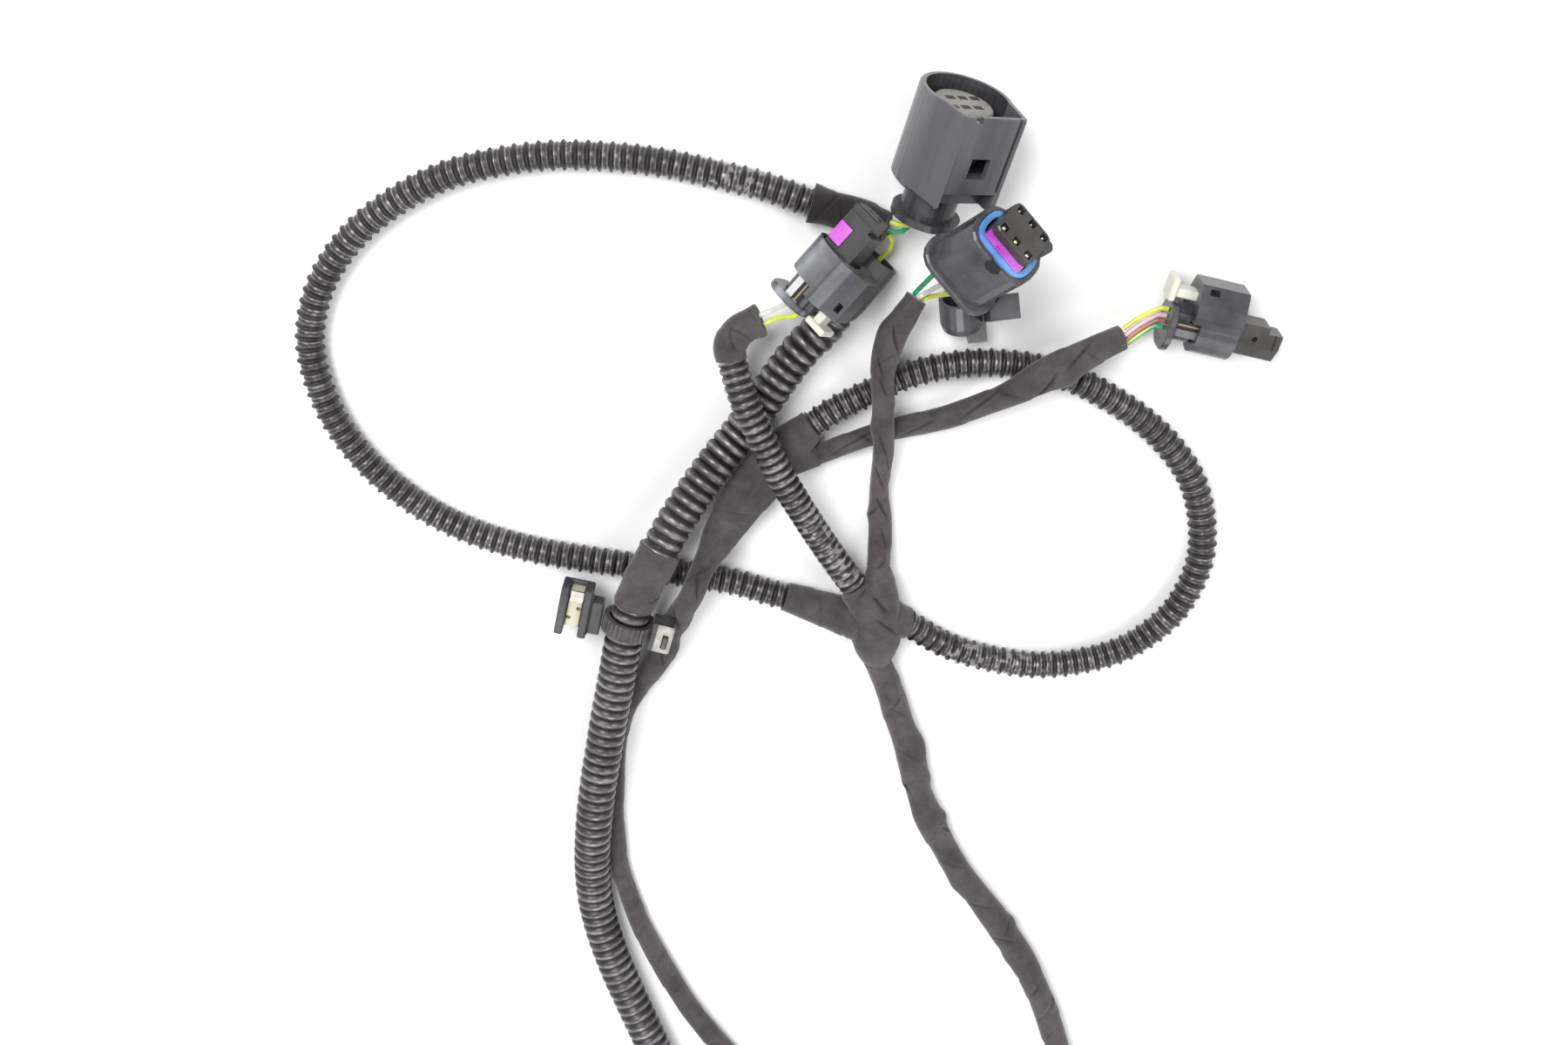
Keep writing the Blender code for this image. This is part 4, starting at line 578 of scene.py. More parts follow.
def finish_mesh(name, bm):
    """Turn a bmesh into a linked object with outward faces and soft shading."""
    bmesh.ops.recalc_face_normals(bm, faces=bm.faces)
    mesh = bpy.data.meshes.new(name)
    bm.to_mesh(mesh)
    bm.free()
    mesh.shade_smooth()
    mesh.set_sharp_from_angle(angle=SHARP_ANGLE)
    item = bpy.data.objects.new(name, mesh)
    bpy.context.collection.objects.link(item)
    return item


def dress(item, material, slot, *nodes):
    """Give a new piece its finish and its body, and say which solids it stands for."""
    item.data.materials.append(material)
    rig.ride(item, "harness")
    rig.slot(item, slot)
    if nodes:
        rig.replaces(item, *nodes)


def ring_ridge(share):
    """Narrow ring with a wide valley that has one low ring in its middle."""
    swing = math.cos(2.0 * math.pi * share)
    return max(swing, 0.0) ** 1.3 + 0.22 * max(-swing, 0.0) ** 3


def round_ridge(share):
    """Full rounded ridge with a thin groove."""
    return abs(math.cos(math.pi * share)) ** 0.55


def ring_painted_light(share):
    """Painted highlight and shade of a ringed conduit: painted highlight brightest in the valley beside each ring,
    painted shade on the ring.
    """
    gap = abs((share + 0.5) % 1.0 - 0.5)
    return 0.95 * math.exp(-((gap - 0.31) / 0.085) ** 2) + 0.30 * math.exp(-((gap - 0.5) / 0.07) ** 2)


def round_painted_light(share):
    """Painted highlight and shade of a round-ridged conduit: painted highlight on the crest, painted shade in the
    groove.
    """
    return 0.86 * abs(math.cos(math.pi * share)) ** 2.6


def scuffs(name, distance, turn):
    """Pale scuffs and flecks on a conduit, thickest where it has rubbed."""
    fleck = noise.noise(Vector((distance * 420.0, turn * 11.0, len(name))))
    fleck += 0.5 * noise.noise(Vector((distance * 1300.0, turn * 30.0, 4.0)))
    amount = 0.35
    for spot, reach in RUBBED.get(name, ()):
        amount += 1.5 * math.exp(-((distance / MM - spot) / reach) ** 4)
    return amount * max(0.0, fleck * 1.7 - 0.1)


def make_conduit(name, route, diameter, pitch, material, ridge, painted_light, sides):
    """A corrugated conduit along its route."""
    path = Path(route)
    turns = round(path.length / pitch)
    radius = diameter / 2

    def reach(distance, turn, row):
        height = ridge(distance / path.length * turns)
        value = radius * (GROOVE + (1.0 - GROOVE) * height)
        return value, value

    # Painted highlight and shade of the ridges, added to real scuffs and flecks.
    def wear_and_painted_light(distance, turn):
        return painted_light(distance / path.length * turns) + scuffs(name, distance, turn)

    item = rolled_tube(name, path, reach, sides, turns * RIDGE_STEPS, wear_and_painted_light=wear_and_painted_light)
    dress(item, material, "conduit_plastic", name.removesuffix("_ridged"))
    return item, path


def tape_share(distance, turn, seed, pitch):
    """Where a spot lies between one tape edge (0) and the next (1)."""
    drift = 0.3 * noise.noise(Vector((distance * 30.0, seed, 0.0)))
    return (distance / pitch + turn + drift) % 1.0


def painted_edge_shade(distance, turn, seed, pitch):
    """Darkness of the shade beside a tape edge, stronger in some places than in others."""
    share = tape_share(distance, turn, seed, pitch)
    patch = 0.5 + 1.4 * noise.noise(Vector((distance * 130.0, turn * 5.0, seed)))
    return max(0.0, patch) * EDGE_SHADE_DARK * math.exp(-((min(share, 1.0 - share)) / EDGE_SHADE_WIDTH) ** 2)


def wrap(distance, turn, seed, pitch):
    """How far the tape stands out: flat turns with a thin edge, soft dents and a few sharp folds."""
    share = tape_share(distance, turn, seed, pitch)
    edge = TAPE_EDGE * (share if share < 1.0 - TAPE_LIP else (1.0 - share) / TAPE_LIP * (1.0 - TAPE_LIP))
    angle = 2.0 * math.pi * turn
    around = Vector((math.cos(angle), math.sin(angle), 0.0))
    dents = TAPE_DENT * noise.noise(Vector((around.x * 0.8 + seed, around.y * 0.8, distance * 60.0)))
    creases = TAPE_CREASE * noise.noise(Vector((around.x * 1.9, around.y * 1.9 + seed, distance * 200.0)))
    gate = max(0.0, noise.noise(Vector((seed, around.y * 0.7, distance * 70.0))) * 3.0 - 0.35)
    fold = TAPE_FOLD * min(gate, 1.0) * math.exp(-((share - 0.55) / 0.035) ** 2)
    return edge + dents + creases - fold - TAPE_SINK


def sharp_folds(name, distance, turn):
    """Depth of the short slanting folds that cut into a bundle's tape."""
    depth = 0.0
    for spot, side, slope, reach, deep in FOLDS.get(name, ()):
        along = distance / MM - spot
        across = abs((turn - side - slope * along + 0.5) % 1.0 - 0.5) / FOLD_WIDTH
        depth += deep * MM * math.exp(-across * across - (along / reach) ** 4)
    return depth


def bulge(name, distance, turn):
    """Extra height of a bundle where its tape bulges or a corner stands off."""
    height = 0.0
    for spot, side, rise, reach in BULGES.get(name, ()):
        gap = abs((turn - side + 0.5) % 1.0 - 0.5) / BULGE_WIDTH
        along = (distance / MM - spot) / reach
        height += rise * MM * math.exp(-gap * gap - along * along)
    return height


def make_bundle(name, path, seed, step=BRANCH_STEP, pitch=TAPE_PITCH, start=0.0, end=None, flare=()):
    """A cloth taped bundle of changing width and height; flare widens its two ends."""
    branch = name.removesuffix("_taped")

    def reach(distance, turn, row):
        rise = wrap(distance, turn, seed, pitch) + bulge(branch, distance, turn)
        rise -= sharp_folds(branch, distance, turn)
        for spot, widen in zip((0.0, path.length), flare):
            ragged = 0.7 + 0.5 * noise.noise(Vector((turn * 7.0, seed, spot)))
            rise += widen * ragged * math.exp(-(((distance - spot) / FLARE_REACH) ** 2))
        return row[3] + rise, row[4] + rise

    def wear_and_painted_light(distance, turn):
        # Painted shade in the sharp folds and beside the tape edges.
        painted_tape_shade = min(1.0, sharp_folds(branch, distance, turn) / DARK_FOLD)
        return painted_tape_shade + painted_edge_shade(distance, turn, seed, pitch)

    steps = round(((end or path.length) - start) / step)
    return rolled_tube(name, path, reach, BUNDLE_SIDES, steps, start, end, wear_and_painted_light)


class Finish:
    """The nodes of one material, or of the surround, while it is made."""

    def __init__(self, owner):
        owner.use_nodes = True
        self.owner = owner
        self.nodes, self.links = owner.node_tree.nodes, owner.node_tree.links
        self.shader = self.nodes.get("Principled BSDF")

    def feed(self, socket, value):
        """Give a socket a link or a constant."""
        if isinstance(value, bpy.types.NodeSocket):
            self.links.new(value, socket)
        else:
            socket.default_value = value

    def where(self, source="Object"):
        """Texture coordinates of one kind."""
        return self.nodes.new("ShaderNodeTexCoord").outputs[source]

    def inside(self, place):
        """Coordinates along one plug: across, towards the latch and towards the mouth."""
        turned = self.nodes.new("ShaderNodeMapping")
        turned.vector_type = "TEXTURE"
        plug_frame = stand(place)
        turned.inputs["Location"].default_value = plug_frame.to_translation()
        turned.inputs["Rotation"].default_value = plug_frame.to_euler()
        self.links.new(self.where(), turned.inputs["Vector"])
        return turned.outputs["Vector"]

    def stretch(self, vector, scale):
        """Coordinates stretched or flattened along their axes."""
        made = self.nodes.new("ShaderNodeMapping")
        made.inputs["Scale"].default_value = scale
        self.links.new(vector, made.inputs["Vector"])
        return made.outputs["Vector"]

    def split(self, vector):
        """The three parts of a position or a direction."""
        made = self.nodes.new("ShaderNodeSeparateXYZ")
        self.links.new(vector, made.inputs["Vector"])
        return made.outputs

    def measure(self, operation, vector, direction=(0.0, 0.0, 0.0)):
        """A position's length, or how far it reaches in a direction."""
        made = self.nodes.new("ShaderNodeVectorMath")
        made.operation = operation
        made.inputs[1].default_value = direction
        self.links.new(vector, made.inputs[0])
        return made.outputs["Value"]

    def stored(self, name):
        """A value kept on the piece's own points."""
        made = self.nodes.new("ShaderNodeAttribute")
        made.attribute_name = name
        return made.outputs["Fac"]

    def cloud(self, vector, scale, detail, roughness=0.5):
        """Cloudy noise over a position."""
        made = self.nodes.new("ShaderNodeTexNoise")
        made.inputs["Scale"].default_value = scale
        made.inputs["Detail"].default_value = detail
        made.inputs["Roughness"].default_value = roughness
        self.links.new(vector, made.inputs["Vector"])
        return made.outputs["Fac"]

    def threads(self, vector, direction):
        """Parallel threads of the tape's cloth."""
        made = self.nodes.new("ShaderNodeTexWave")
        made.bands_direction = direction
        made.inputs["Scale"].default_value = THREADS
        made.inputs["Distortion"].default_value = 1.2
        self.links.new(vector, made.inputs["Vector"])
        return made.outputs["Fac"]

    def ramp(self, source, *stops):
        """A colour ramp over a value, from (place, colour) stops."""
        made = self.nodes.new("ShaderNodeValToRGB")
        points = made.color_ramp.elements
        while len(points) < len(stops):
            points.new(0.5)
        for point, (spot, colour) in zip(points, stops):
            point.position = spot
            point.color = (*colour, 1.0)
        self.links.new(source, made.inputs["Fac"])
        return made.outputs["Color"]

    def span(self, source, low, high, start=0.0, end=1.0):
        """A value mapped from one range to another."""
        made = self.nodes.new("ShaderNodeMapRange")
        made.inputs["From Min"].default_value = start
        made.inputs["From Max"].default_value = end
        made.inputs["To Min"].default_value = low
        made.inputs["To Max"].default_value = high
        self.links.new(source, made.inputs["Value"])
        return made.outputs["Result"]

    def past(self, source, edge, before=0.0, after=1.0, soft=0.1 * MM):
        """One value before an edge and another after it."""
        return self.span(source, before, after, edge - soft, edge + soft)

    def join(self, operation, first, second):
        """Two values joined by arithmetic."""
        made = self.nodes.new("ShaderNodeMath")
        made.operation = operation
        self.links.new(first, made.inputs[0])
        self.links.new(second, made.inputs[1])
        return made.outputs["Value"]

    def mix(self, share, first, second, kind="MIX"):
        """Two colours mixed by a share."""
        made = self.nodes.new("ShaderNodeMix")
        made.data_type, made.blend_type = "RGBA", kind
        for slot, value in ((0, share), (6, first), (7, second)):
            self.feed(made.inputs[slot], value)
        return made.outputs[2]

    def surface(self, colour, roughness, height, strength, depth):
        """Give the main shader its colour, roughness and fine relief."""
        self.links.new(colour, self.shader.inputs["Base Color"])
        self.links.new(roughness, self.shader.inputs["Roughness"])
        relief = self.nodes.new("ShaderNodeBump")
        relief.inputs["Strength"].default_value = strength
        relief.inputs["Distance"].default_value = depth
        self.links.new(height, relief.inputs["Height"])
        self.links.new(relief.outputs["Normal"], self.shader.inputs["Normal"])
        return self.owner


def new_finish(name):
    """The finish of a new material."""
    return Finish(bpy.data.materials.new(name))


def moulded_plastic(name, dark, light, roughness):
    """Moulded plastic: fine grain, cloudy tone and rubbed patches."""
    finish = new_finish(name)
    where = finish.where()
    cloud = finish.cloud(where, 60.0, 5.0, 0.6)
    tone = finish.ramp(cloud, (0.35, dark), (0.68, light))
    gloss = finish.span(cloud, roughness - 0.07, roughness + 0.1, 0.3, 0.7)
    return finish.surface(tone, gloss, finish.cloud(where, GRAIN, 2.0), 0.35, 0.06 * MM)


def conduit_plastic():
    """Corrugated conduit: painted shade in the grooves, painted highlights beside and on the ridges, and cloudy,
    scuffed plastic.
    """
    finish = new_finish("conduit_plastic")
    where = finish.where()
    cloud = finish.cloud(where, 85.0, 5.0, 0.65)
    # The stored value adds painted highlight and shade to real scuffs: the ramp's dark end is painted groove shade,
    # its pale end painted highlight and scuffs.
    level = finish.join("ADD", finish.stored("wear_and_painted_light"), finish.span(cloud, -0.28, 0.24, 0.3, 0.7))
    tone = finish.ramp(
        level, (0.0, (0.007, 0.005, 0.006)), (0.4, (0.026, 0.022, 0.025)),
        (0.8, (0.105, 0.094, 0.102)), (1.0, (0.22, 0.21, 0.22)),
    )
    gloss = finish.span(level, 0.44, 0.20)
    return finish.surface(tone, gloss, finish.cloud(where, GRAIN, 2.0), 0.3, 0.05 * MM)


def plug_plastic(name, place, dark, light, rod_reflection, painted_light):
    """Sensor plug plastic: painted highlight and shade bands across the shroud and latch tower, black neck with
    painted reflections on its rods.
    """
    finish = new_finish(name)
    local = finish.inside(place)
    spot = finish.split(local)
    plain = finish.ramp(finish.cloud(local, 70.0, 5.0, 0.6), (0.35, dark), (0.68, light))
    height = finish.span(spot["Y"], 0.0, 1.0, PLUG_PAINTED_LIGHT_LOW, PLUG_PAINTED_LIGHT_HIGH)
    # Painted highlight and shade in bands across the shroud and the latch tower.
    painted_bands = [(share, (1.0 + (level - 1.0) * painted_light,) * 3) for share, level in PLUG_PAINTED_LIGHT_BANDS]
    shroud = finish.mix(1.0, plain, finish.ramp(height, *painted_bands), "MULTIPLY")
    # The bright rod stripes and the brass stripe are painted reflections on the black neck.
    black, brass_reflection = (0.010, 0.009, 0.010), (0.30, 0.24, 0.15)
    across = finish.span(spot["Y"], 0.0, 1.0, -PLUG_RODS_HIGH, PLUG_RODS_HIGH)
    neck = finish.ramp(
        across, (0.0, dark), (0.15, dark), (0.16, black), (0.27, black), (0.28, rod_reflection), (0.45, rod_reflection),
        (0.46, black), (0.53, black), (0.54, brass_reflection), (0.57, brass_reflection), (0.58, black),
    )
    on_neck = finish.past(spot["Z"], PLUG_NECK_BACK, soft=PLUG_NECK_SOFT)
    for part, edge in (("Z", PLUG_NECK_FRONT), ("Y", PLUG_NECK_TOP)):
        on_neck = finish.join("MULTIPLY", on_neck, finish.past(spot[part], edge, 1.0, 0.0, PLUG_NECK_SOFT))
    gloss = finish.span(on_neck, 0.26, 0.12)
    colour = finish.mix(on_neck, shroud, neck)
    return finish.surface(colour, gloss, finish.cloud(local, GRAIN, 2.0), 0.2, 0.04 * MM)


def socket_plastic():
    """Socket plastic: faint streaks along its length, with painted shade on its neck and in its hollow."""
    finish = new_finish("socket_plastic")
    local = finish.inside(SOCKET_PLACE)
    streaks = finish.cloud(finish.stretch(local, (1.0, 1.0, 0.08)), 120.0, 4.0)
    tone = finish.ramp(streaks, (0.2, (0.040, 0.039, 0.044)), (0.85, (0.130, 0.128, 0.140)))
    radius = finish.measure("LENGTH", finish.stretch(local, (1.0, 1.0, 0.0)))
    height = finish.split(local)["Z"]
    within = finish.past(radius, SOCKET_HOLLOW_R, 0.85, 0.0)
    hollow = finish.join("MULTIPLY", within, finish.past(height, SOCKET_HOLLOW_BACK))
    shade = finish.join("MAXIMUM", hollow, finish.past(height, SOCKET_NECK, 0.55, 0.0))
    # Near-black painted shade in the hollow and on the neck.
    colour = finish.mix(shade, tone, (0.012, 0.011, 0.012, 1.0))
    return finish.surface(colour, finish.span(streaks, 0.20, 0.34), streaks, 0.1, 0.04 * MM)


def tie_band_plastic():
    """Cable tie plastic: dark band and a pale speckled cut face on its head."""
    finish = new_finish("tie_band_plastic")
    local = finish.inside(TIE_PLACE)
    spot = finish.split(local)
    cloud = finish.cloud(local, 260.0, 4.0)
    dark = finish.ramp(cloud, (0.35, (0.030, 0.027, 0.028)), (0.68, (0.080, 0.074, 0.076)))
    pale = finish.ramp(cloud, (0.35, (0.30, 0.30, 0.27)), (0.62, (0.52, 0.51, 0.47)))
    upward = finish.split(finish.nodes.new("ShaderNodeNewGeometry").outputs["Normal"])["Z"]
    face = finish.past(upward, 0.5, soft=0.05)
    for part, edge in (("X", TIE_HEAD_SIDE), ("Z", TIE_HEAD_BACK)):
        face = finish.join("MULTIPLY", face, finish.past(spot[part], edge))
    gloss = finish.span(cloud, 0.32, 0.5, 0.3, 0.7)
    return finish.surface(finish.mix(face, dark, pale), gloss, cloud, 0.25, 0.06 * MM)


def striped_insulation(name, first, second):
    """Two-tone wire insulation: one colour along its upper side, the other along its lower side."""
    finish = new_finish(name)
    where = finish.where()
    across = finish.measure("DOT_PRODUCT", where, STRIPE_ACROSS)
    side = finish.past(across, Vector(STRIPE_ACROSS).dot(plan(*STRIPE_LINE)))
    marks = finish.cloud(where, DRAW_MARKS, 3.0)
    colour = finish.ramp(side, (0.0, second), (1.0, first))
    return finish.surface(colour, finish.span(marks, 0.28, 0.42), marks, 0.2, 0.03 * MM)


def glossy_insulation(name, colour):
    """Thin wire insulation: clean colour, a little gloss and faint draw marks."""
    finish = new_finish(name)
    marks = finish.cloud(finish.where(), DRAW_MARKS, 3.0)
    shade = tuple(value * 0.78 for value in colour)
    tone = finish.ramp(marks, (0.3, shade), (0.65, colour))
    return finish.surface(tone, finish.span(marks, 0.28, 0.42), marks, 0.2, 0.03 * MM)


def cloth_tape(name, dark=(0.026, 0.022, 0.024), light=(0.098, 0.087, 0.091)):
    """Matte woven tape: crossing threads, fluff, and painted shade in its creases and beside its edges."""
    finish = new_finish(name)
    woven = finish.where("UV")
    weave = finish.join("MULTIPLY", finish.threads(woven, "X"), finish.threads(woven, "Y"))
    fluff = finish.cloud(finish.where(), 75.0, 8.0, 0.72)
    tone = finish.ramp(fluff, (0.3, dark), (0.72, light))
    # Painted shade in the tape's folds and beside its edges darkens the colour.
    painted_tape_shade = finish.ramp(finish.stored("wear_and_painted_light"), (0.05, (1.0, 1.0, 1.0)), (1.0, (0.26, 0.24, 0.24)))
    finish.shader.inputs["Sheen Weight"].default_value = 0.25
    finish.shader.inputs["Sheen Roughness"].default_value = 0.5
    finish.shader.inputs["Specular IOR Level"].default_value = 0.3
    colour = finish.mix(1.0, tone, painted_tape_shade, "MULTIPLY")
    return finish.surface(colour, finish.span(weave, 0.95, 0.78), weave, 0.5, 0.10 * MM)


def bright_metal(name, colour, roughness):
    """Stamped spring metal with fine rolling lines."""
    finish = new_finish(name)
    lines = finish.cloud(finish.where(), 260.0, 4.0)
    finish.shader.inputs["Metallic"].default_value = 1.0
    dark = tuple(value * 0.8 for value in colour)
    tone = finish.ramp(lines, (0.3, dark), (0.7, colour))
    gloss = finish.span(lines, roughness - 0.08, roughness + 0.1)
    return finish.surface(tone, gloss, lines, 0.2, 0.03 * MM)


def make_finishes():
    """All finishes of the harness by name, the record's slot names among them."""
    finishes = {
        "conduit_plastic": conduit_plastic(),
        "cloth_tape": cloth_tape("cloth_tape"),
        # A darker copy of the cloth tape for the top wrap: partly the tape's own dark colour, partly painted shade.
        "dark_tape": cloth_tape("dark_tape", (0.010, 0.008, 0.009), (0.030, 0.025, 0.026)),
        "socket_plastic": socket_plastic(),
        # The two sensor plugs share one plastic; the small plug's lighter tones and stronger bands are painted
        # highlight.
        "small_plug_plastic": plug_plastic(
            "small_plug_plastic", SMALL_PLACE, (0.085, 0.086, 0.098), (0.19, 0.19, 0.21),
            # The third colour is the painted reflection on the neck rods.
            (0.62, 0.62, 0.64), 1.0),
        "right_plug_plastic": plug_plastic(
            "right_plug_plastic", RIGHT_PLACE, (0.036, 0.036, 0.042), (0.095, 0.094, 0.104),
            # The third colour is the painted reflection on this plug's neck rods.
            (0.16, 0.15, 0.16), 0.4),
        "tie_band_plastic": tie_band_plastic(),
        "two_tone_wire": striped_insulation("two_tone_wire", (0.66, 0.74, 0.06), (0.02, 0.38, 0.14)),
    }
    for name, (dark, light, roughness) in MOULDED.items():
        finishes[name] = moulded_plastic(name, dark, light, roughness)
    for name, (colour, roughness) in METALS.items():
        finishes[name] = bright_metal(name, colour, roughness)
    for name, colour in WIRES.items():
        finishes[name] = glossy_insulation(name, colour)
    return finishes


def make_cords(finishes):
    """The conduits and taped branches, each declared with its length and its far end."""
    conduit, cloth = finishes["conduit_plastic"], finishes["cloth_tape"]
    ringed = (ring_ridge, ring_painted_light, CONDUIT_SIDES)
    rounded = (round_ridge, round_painted_light, CONDUIT_SIDES)
    thick = (round_ridge, round_painted_light, THICK_CONDUIT_SIDES)
    for name, route, diameter, pitch, shape, far_end, stiffness, carried in (
        ("left_loop", LEFT_LOOP, CONDUIT_D, LOOP_PITCH, ringed, "object", "medium", ()),
        ("right_loop", RIGHT_LOOP, CONDUIT_D, LOOP_PITCH, ringed, "object", "medium", ()),
        ("middle", MIDDLE_CONDUIT, CONDUIT_D, MIDDLE_PITCH, rounded, "object", "medium", ()),
        ("thick_upper", THICK_UPPER, THICK_CONDUIT_D, THICK_PITCH, thick, "object", "stiff", ()),
        ("thick_lower", THICK_LOWER, THICK_CONDUIT_D, THICK_PITCH, thick, "connector", "stiff",
         (["thick_end_housing", "thick_end_insert"],)),
    ):
        item, path = make_conduit(f"conduit_{name}_ridged", route, diameter, pitch, conduit, *shape)
        line = path.line(CORD_STEP)
        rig.cord(item, plan(*route[0]), path.length, diameter, far_end, stiffness, "loose", line, *carried)
    flare = make_bundle("trunk_flare_taped", Path(TRUNK), TRUNK_SEED, end=TRUNK_FLARE)
    dress(flare, cloth, "cloth_tape", "trunk_bundle")
    for name, route, start, seed, diameter, far_end, carried in (
        ("trunk_bundle", TRUNK, TRUNK_FLARE, TRUNK_SEED, 8.4, "connector",
         ["trunk_end_housing", "trunk_end_insert"]),
        ("right_branch", RIGHT_BRANCH, 0.0, 44.0, 8.4, "connector",
         ["right_plug_housing", "right_plug_insert"]),
        ("upper_branch", UPPER_BRANCH, 0.0, 45.0, 7.4, "object", []),
        ("lower_branch", LOWER_BRANCH, 0.0, 47.0, 9.2, "connector",
         ["branch_end_housing", "branch_end_insert"]),
    ):
        path = Path(route)
        item = make_bundle(name + "_taped", path, seed, start=start)
        dress(item, cloth, "cloth_tape", name)
        line = path.line(CORD_STEP, start)
        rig.cord(item, line[0], path.length - start, diameter * MM, far_end, "stiff", "loose", line, carried)


def make_wraps(finishes):
    """The short tape wraps at the ends and joints of the branches."""
    cloth, dark = finishes["cloth_tape"], finishes["dark_tape"]
    for name, route, seed, material, flare in (
        # The top wrap's darker tape is partly its own colour, partly painted shade.
        ("top_tape", TOP_TAPE, 18.4, dark, (1.4 * MM, 0.3 * MM)),
        ("elbow_tape", ELBOW_TAPE, 23.0, cloth, (0.0, 1.3 * MM)),
        ("tape_sleeve", TAPE_SLEEVE, 25.3, cloth, ()),
        ("junction_left", JUNCTION_LEFT, 29.9, cloth, ()),
        ("junction_right", JUNCTION_RIGHT, 5.1, cloth, ()),
        ("junction_arm", JUNCTION_ARM, 8.4, cloth, ()),
        ("junction_mouth", JUNCTION_MOUTH, 9.7, cloth, ()),
        ("junction_collar", JUNCTION_COLLAR, 3.1, cloth, ()),
        ("junction_fork", JUNCTION_FORK, 6.2, cloth, ()),
    ):
        item = make_bundle(name + "_taped", Path(route), seed, WRAP_STEP, pitch=WRAP_PITCH, flare=flare)
        dress(item, material, "cloth_tape", *([name] if name in frame["nodes"] else []))


def add_box(bm, size, spot, place):
    """A box of a size at a local spot, carried into the frame of its plug."""
    made = bmesh.ops.create_cube(bm, size=1.0)["verts"]
    bmesh.ops.scale(bm, vec=size, verts=made)
    bmesh.ops.translate(bm, vec=spot, verts=made)
    bmesh.ops.transform(bm, matrix=place, verts=made)


def make_six_terminals(finishes):
    """Gold terminal blades in the six-way plug's cells."""
    place = stand(SIX_PLACE)
    bm = bmesh.new()
    for row in (-1, 1):
        for column in (-1, 0, 1):
            spot = (
                column * SIX_PIN_PITCH, (SIX_HEAD_OVER + row * SIX_ROW_PITCH) / 2,
                SIX_FACE - 0.55 * SIX_CELL[2],
            )
            share = (0.52, 0.42, 0.7) if row < 0 else (0.3, 0.26, 0.6)
            add_box(bm, [a * b for a, b in zip(share, SIX_CELL)], spot, place)
    bmesh.ops.bevel(
        bm, geom=list(bm.edges), offset=0.12 * MM, segments=1, profile=0.5, affect="EDGES", material=-1)
    dress(finish_mesh("six_way_terminals", bm), finishes["terminal_gold"], "spring_steel")


def make_six_window(finishes):
    """A dark disc of painted shade inside the six-way plug's round window."""
    radius = SIX_WINDOW_R - SIX_WINDOW_GAP
    centre = (SIX_WINDOW_OVER, 0.4 * SIX_WALL - SIX_BODY_H / 2, SIX_MOUTH - SIX_WINDOW_DOWN)
    bm = bmesh.new()
    made = bmesh.ops.create_cone(
        bm, cap_ends=True, segments=32, radius1=radius, radius2=radius, depth=0.5 * SIX_WALL,
        matrix=Matrix.Rotation(math.pi / 2, 4, "X"),
    )["verts"]
    bmesh.ops.translate(bm, vec=centre, verts=made)
    bmesh.ops.bisect_plane(
        bm, geom=[*bm.verts, *bm.edges, *bm.faces], plane_co=(0.0, 0.0, SIX_MOUTH - 0.1 * MM),
        plane_no=(0.0, 0.0, 1.0), clear_outer=True)
    bmesh.ops.holes_fill(bm, edges=[edge for edge in bm.edges if edge.is_boundary], sides=0)
    bmesh.ops.transform(bm, matrix=stand(SIX_PLACE), verts=bm.verts)
    # The disc paints the shade inside the window with near-black.
    dress(finish_mesh("six_way_window_shade_disc", bm), finishes["slot_dark"], "housing_plastic")


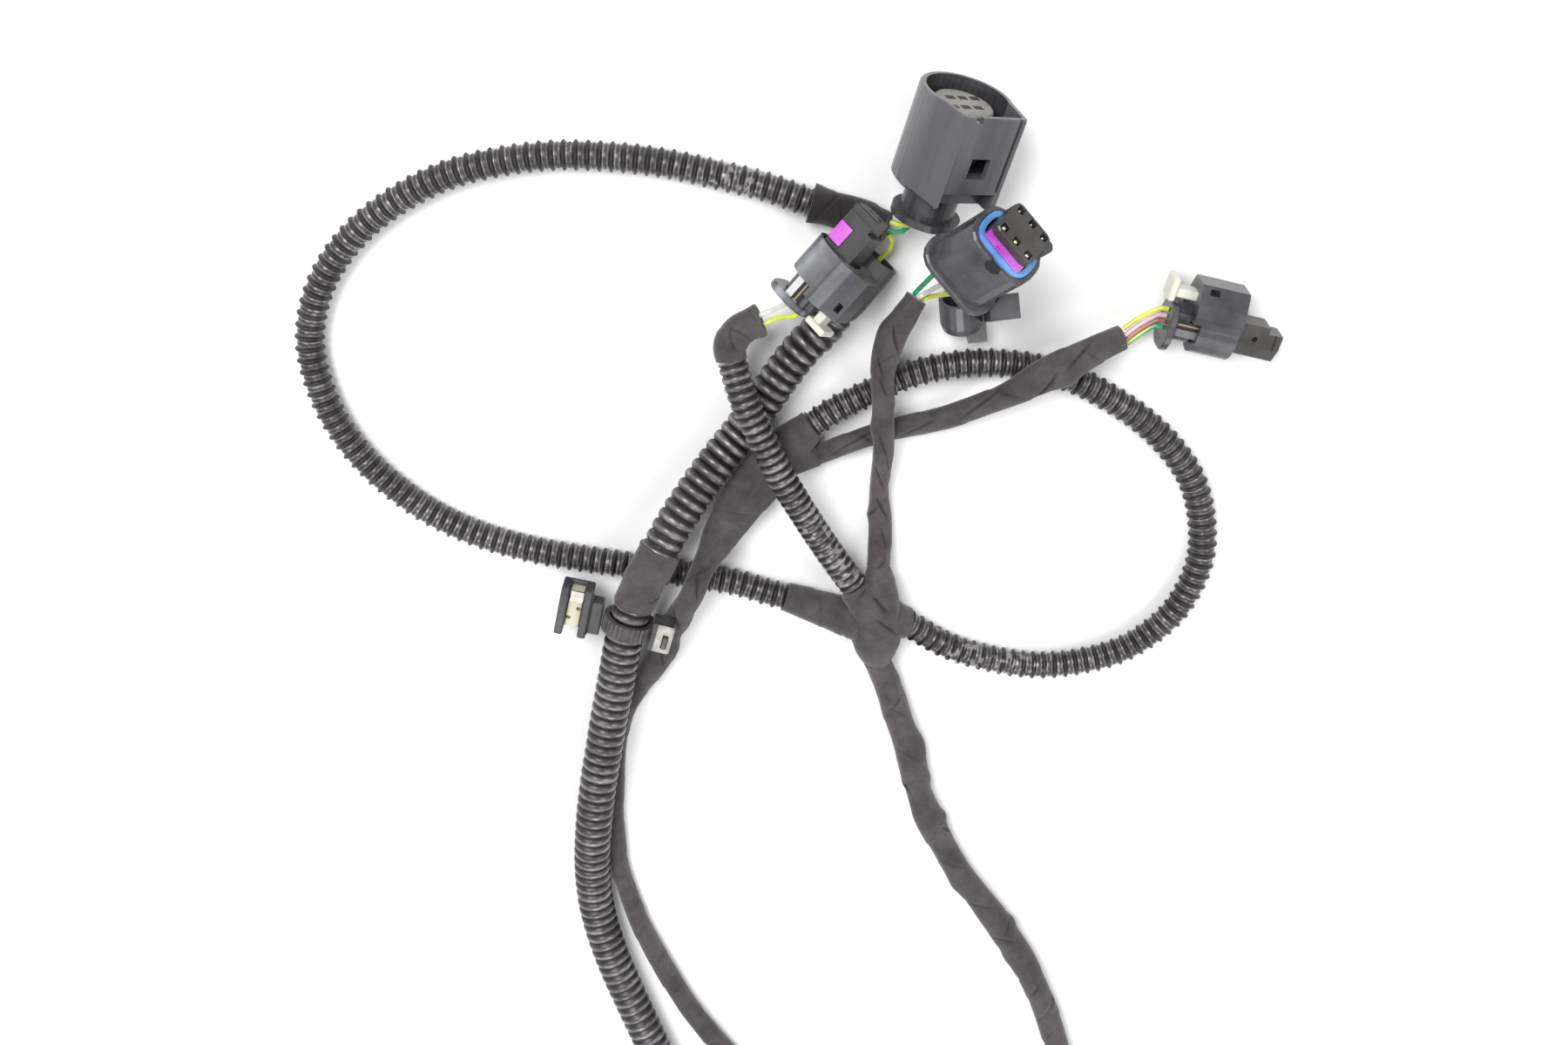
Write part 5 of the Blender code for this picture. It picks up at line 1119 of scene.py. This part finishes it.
def make_socket_slots(finishes):
    """Six dark boxes of painted shade in place of the socket insert's contact openings, a hair proud of its face."""
    place = stand(SOCKET_PLACE)
    wide, tall, deep = SOCKET_SLOT
    bm = bmesh.new()
    for row in (-1, 1):
        for column in (-1, 0, 1):
            across = (column + row * 0.3) * SOCKET_PIN_PITCH
            spot = (across, row * SOCKET_ROW_PITCH / 2, SOCKET_FACE + SOCKET_SLOT_PROUD - deep * 0.45)
            add_box(bm, (wide - SOCKET_SLOT_GAP, tall - SOCKET_SLOT_GAP, deep * 0.9), spot, place)
    # The boxes paint the shade inside the openings with near-black.
    dress(finish_mesh("socket_slot_shade_boxes", bm), finishes["slot_dark"], "insert_dark_plastic")


def finish_nodes(finishes):
    """Give every CAD node that stays its detailed finish."""
    for row in frame["record"]["subparts"]:
        item = frame["nodes"][row["node"]]
        item.data.materials.clear()
        item.data.materials.append(finishes[OWN_FINISH.get(row["node"], row["material_slot"])])


def make_stage():
    """A pale floor, a white surround and soft lamps."""
    bm = bmesh.new()
    bmesh.ops.create_grid(bm, x_segments=1, y_segments=1, size=3.0)
    floor = finish_mesh("floor", bm)
    floor.location.z = -FLOOR_DOWN
    paint = new_finish("floor")
    paint.shader.inputs["Base Color"].default_value = (0.93, 0.93, 0.93, 1.0)
    paint.shader.inputs["Roughness"].default_value = 0.9
    floor.data.materials.append(paint.owner)
    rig.stage(floor)
    world = bpy.data.worlds.new("world")
    bpy.context.scene.world = world
    surround = Finish(world)
    background = surround.nodes["Background"]
    background.inputs["Color"].default_value = (1.0, 1.0, 1.0, 1.0)
    rays = surround.nodes.new("ShaderNodeLightPath").outputs
    seen = rays["Is Camera Ray"]
    for other in ("Is Glossy Ray", "Is Transmission Ray"):
        seen = surround.join("MAXIMUM", seen, rays[other])
    surround.links.new(surround.span(seen, 0.42, 1.0), background.inputs["Strength"])
    for name, spot, size, power in LAMPS:
        data = bpy.data.lights.new(name, "AREA")
        data.shape = "DISK"
        data.size = size
        data.energy = power
        lamp = bpy.data.objects.new(name, data)
        lamp.location = spot
        lamp.rotation_euler = (-Vector(spot)).to_track_quat("-Z", "Y").to_euler()
        bpy.context.collection.objects.link(lamp)
    bpy.context.scene.view_settings.view_transform = "Standard"


make_camera()
finishes = make_finishes()
make_cords(finishes)
make_wraps(finishes)
make_six_terminals(finishes)
make_six_window(finishes)
make_socket_slots(finishes)
finish_nodes(finishes)
make_stage()

shown_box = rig.bounds()
with open("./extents.json", "w") as file:
    json.dump({"cad": [list(corner) for corner in solid_box], "shown": [list(corner) for corner in shown_box]}, file)
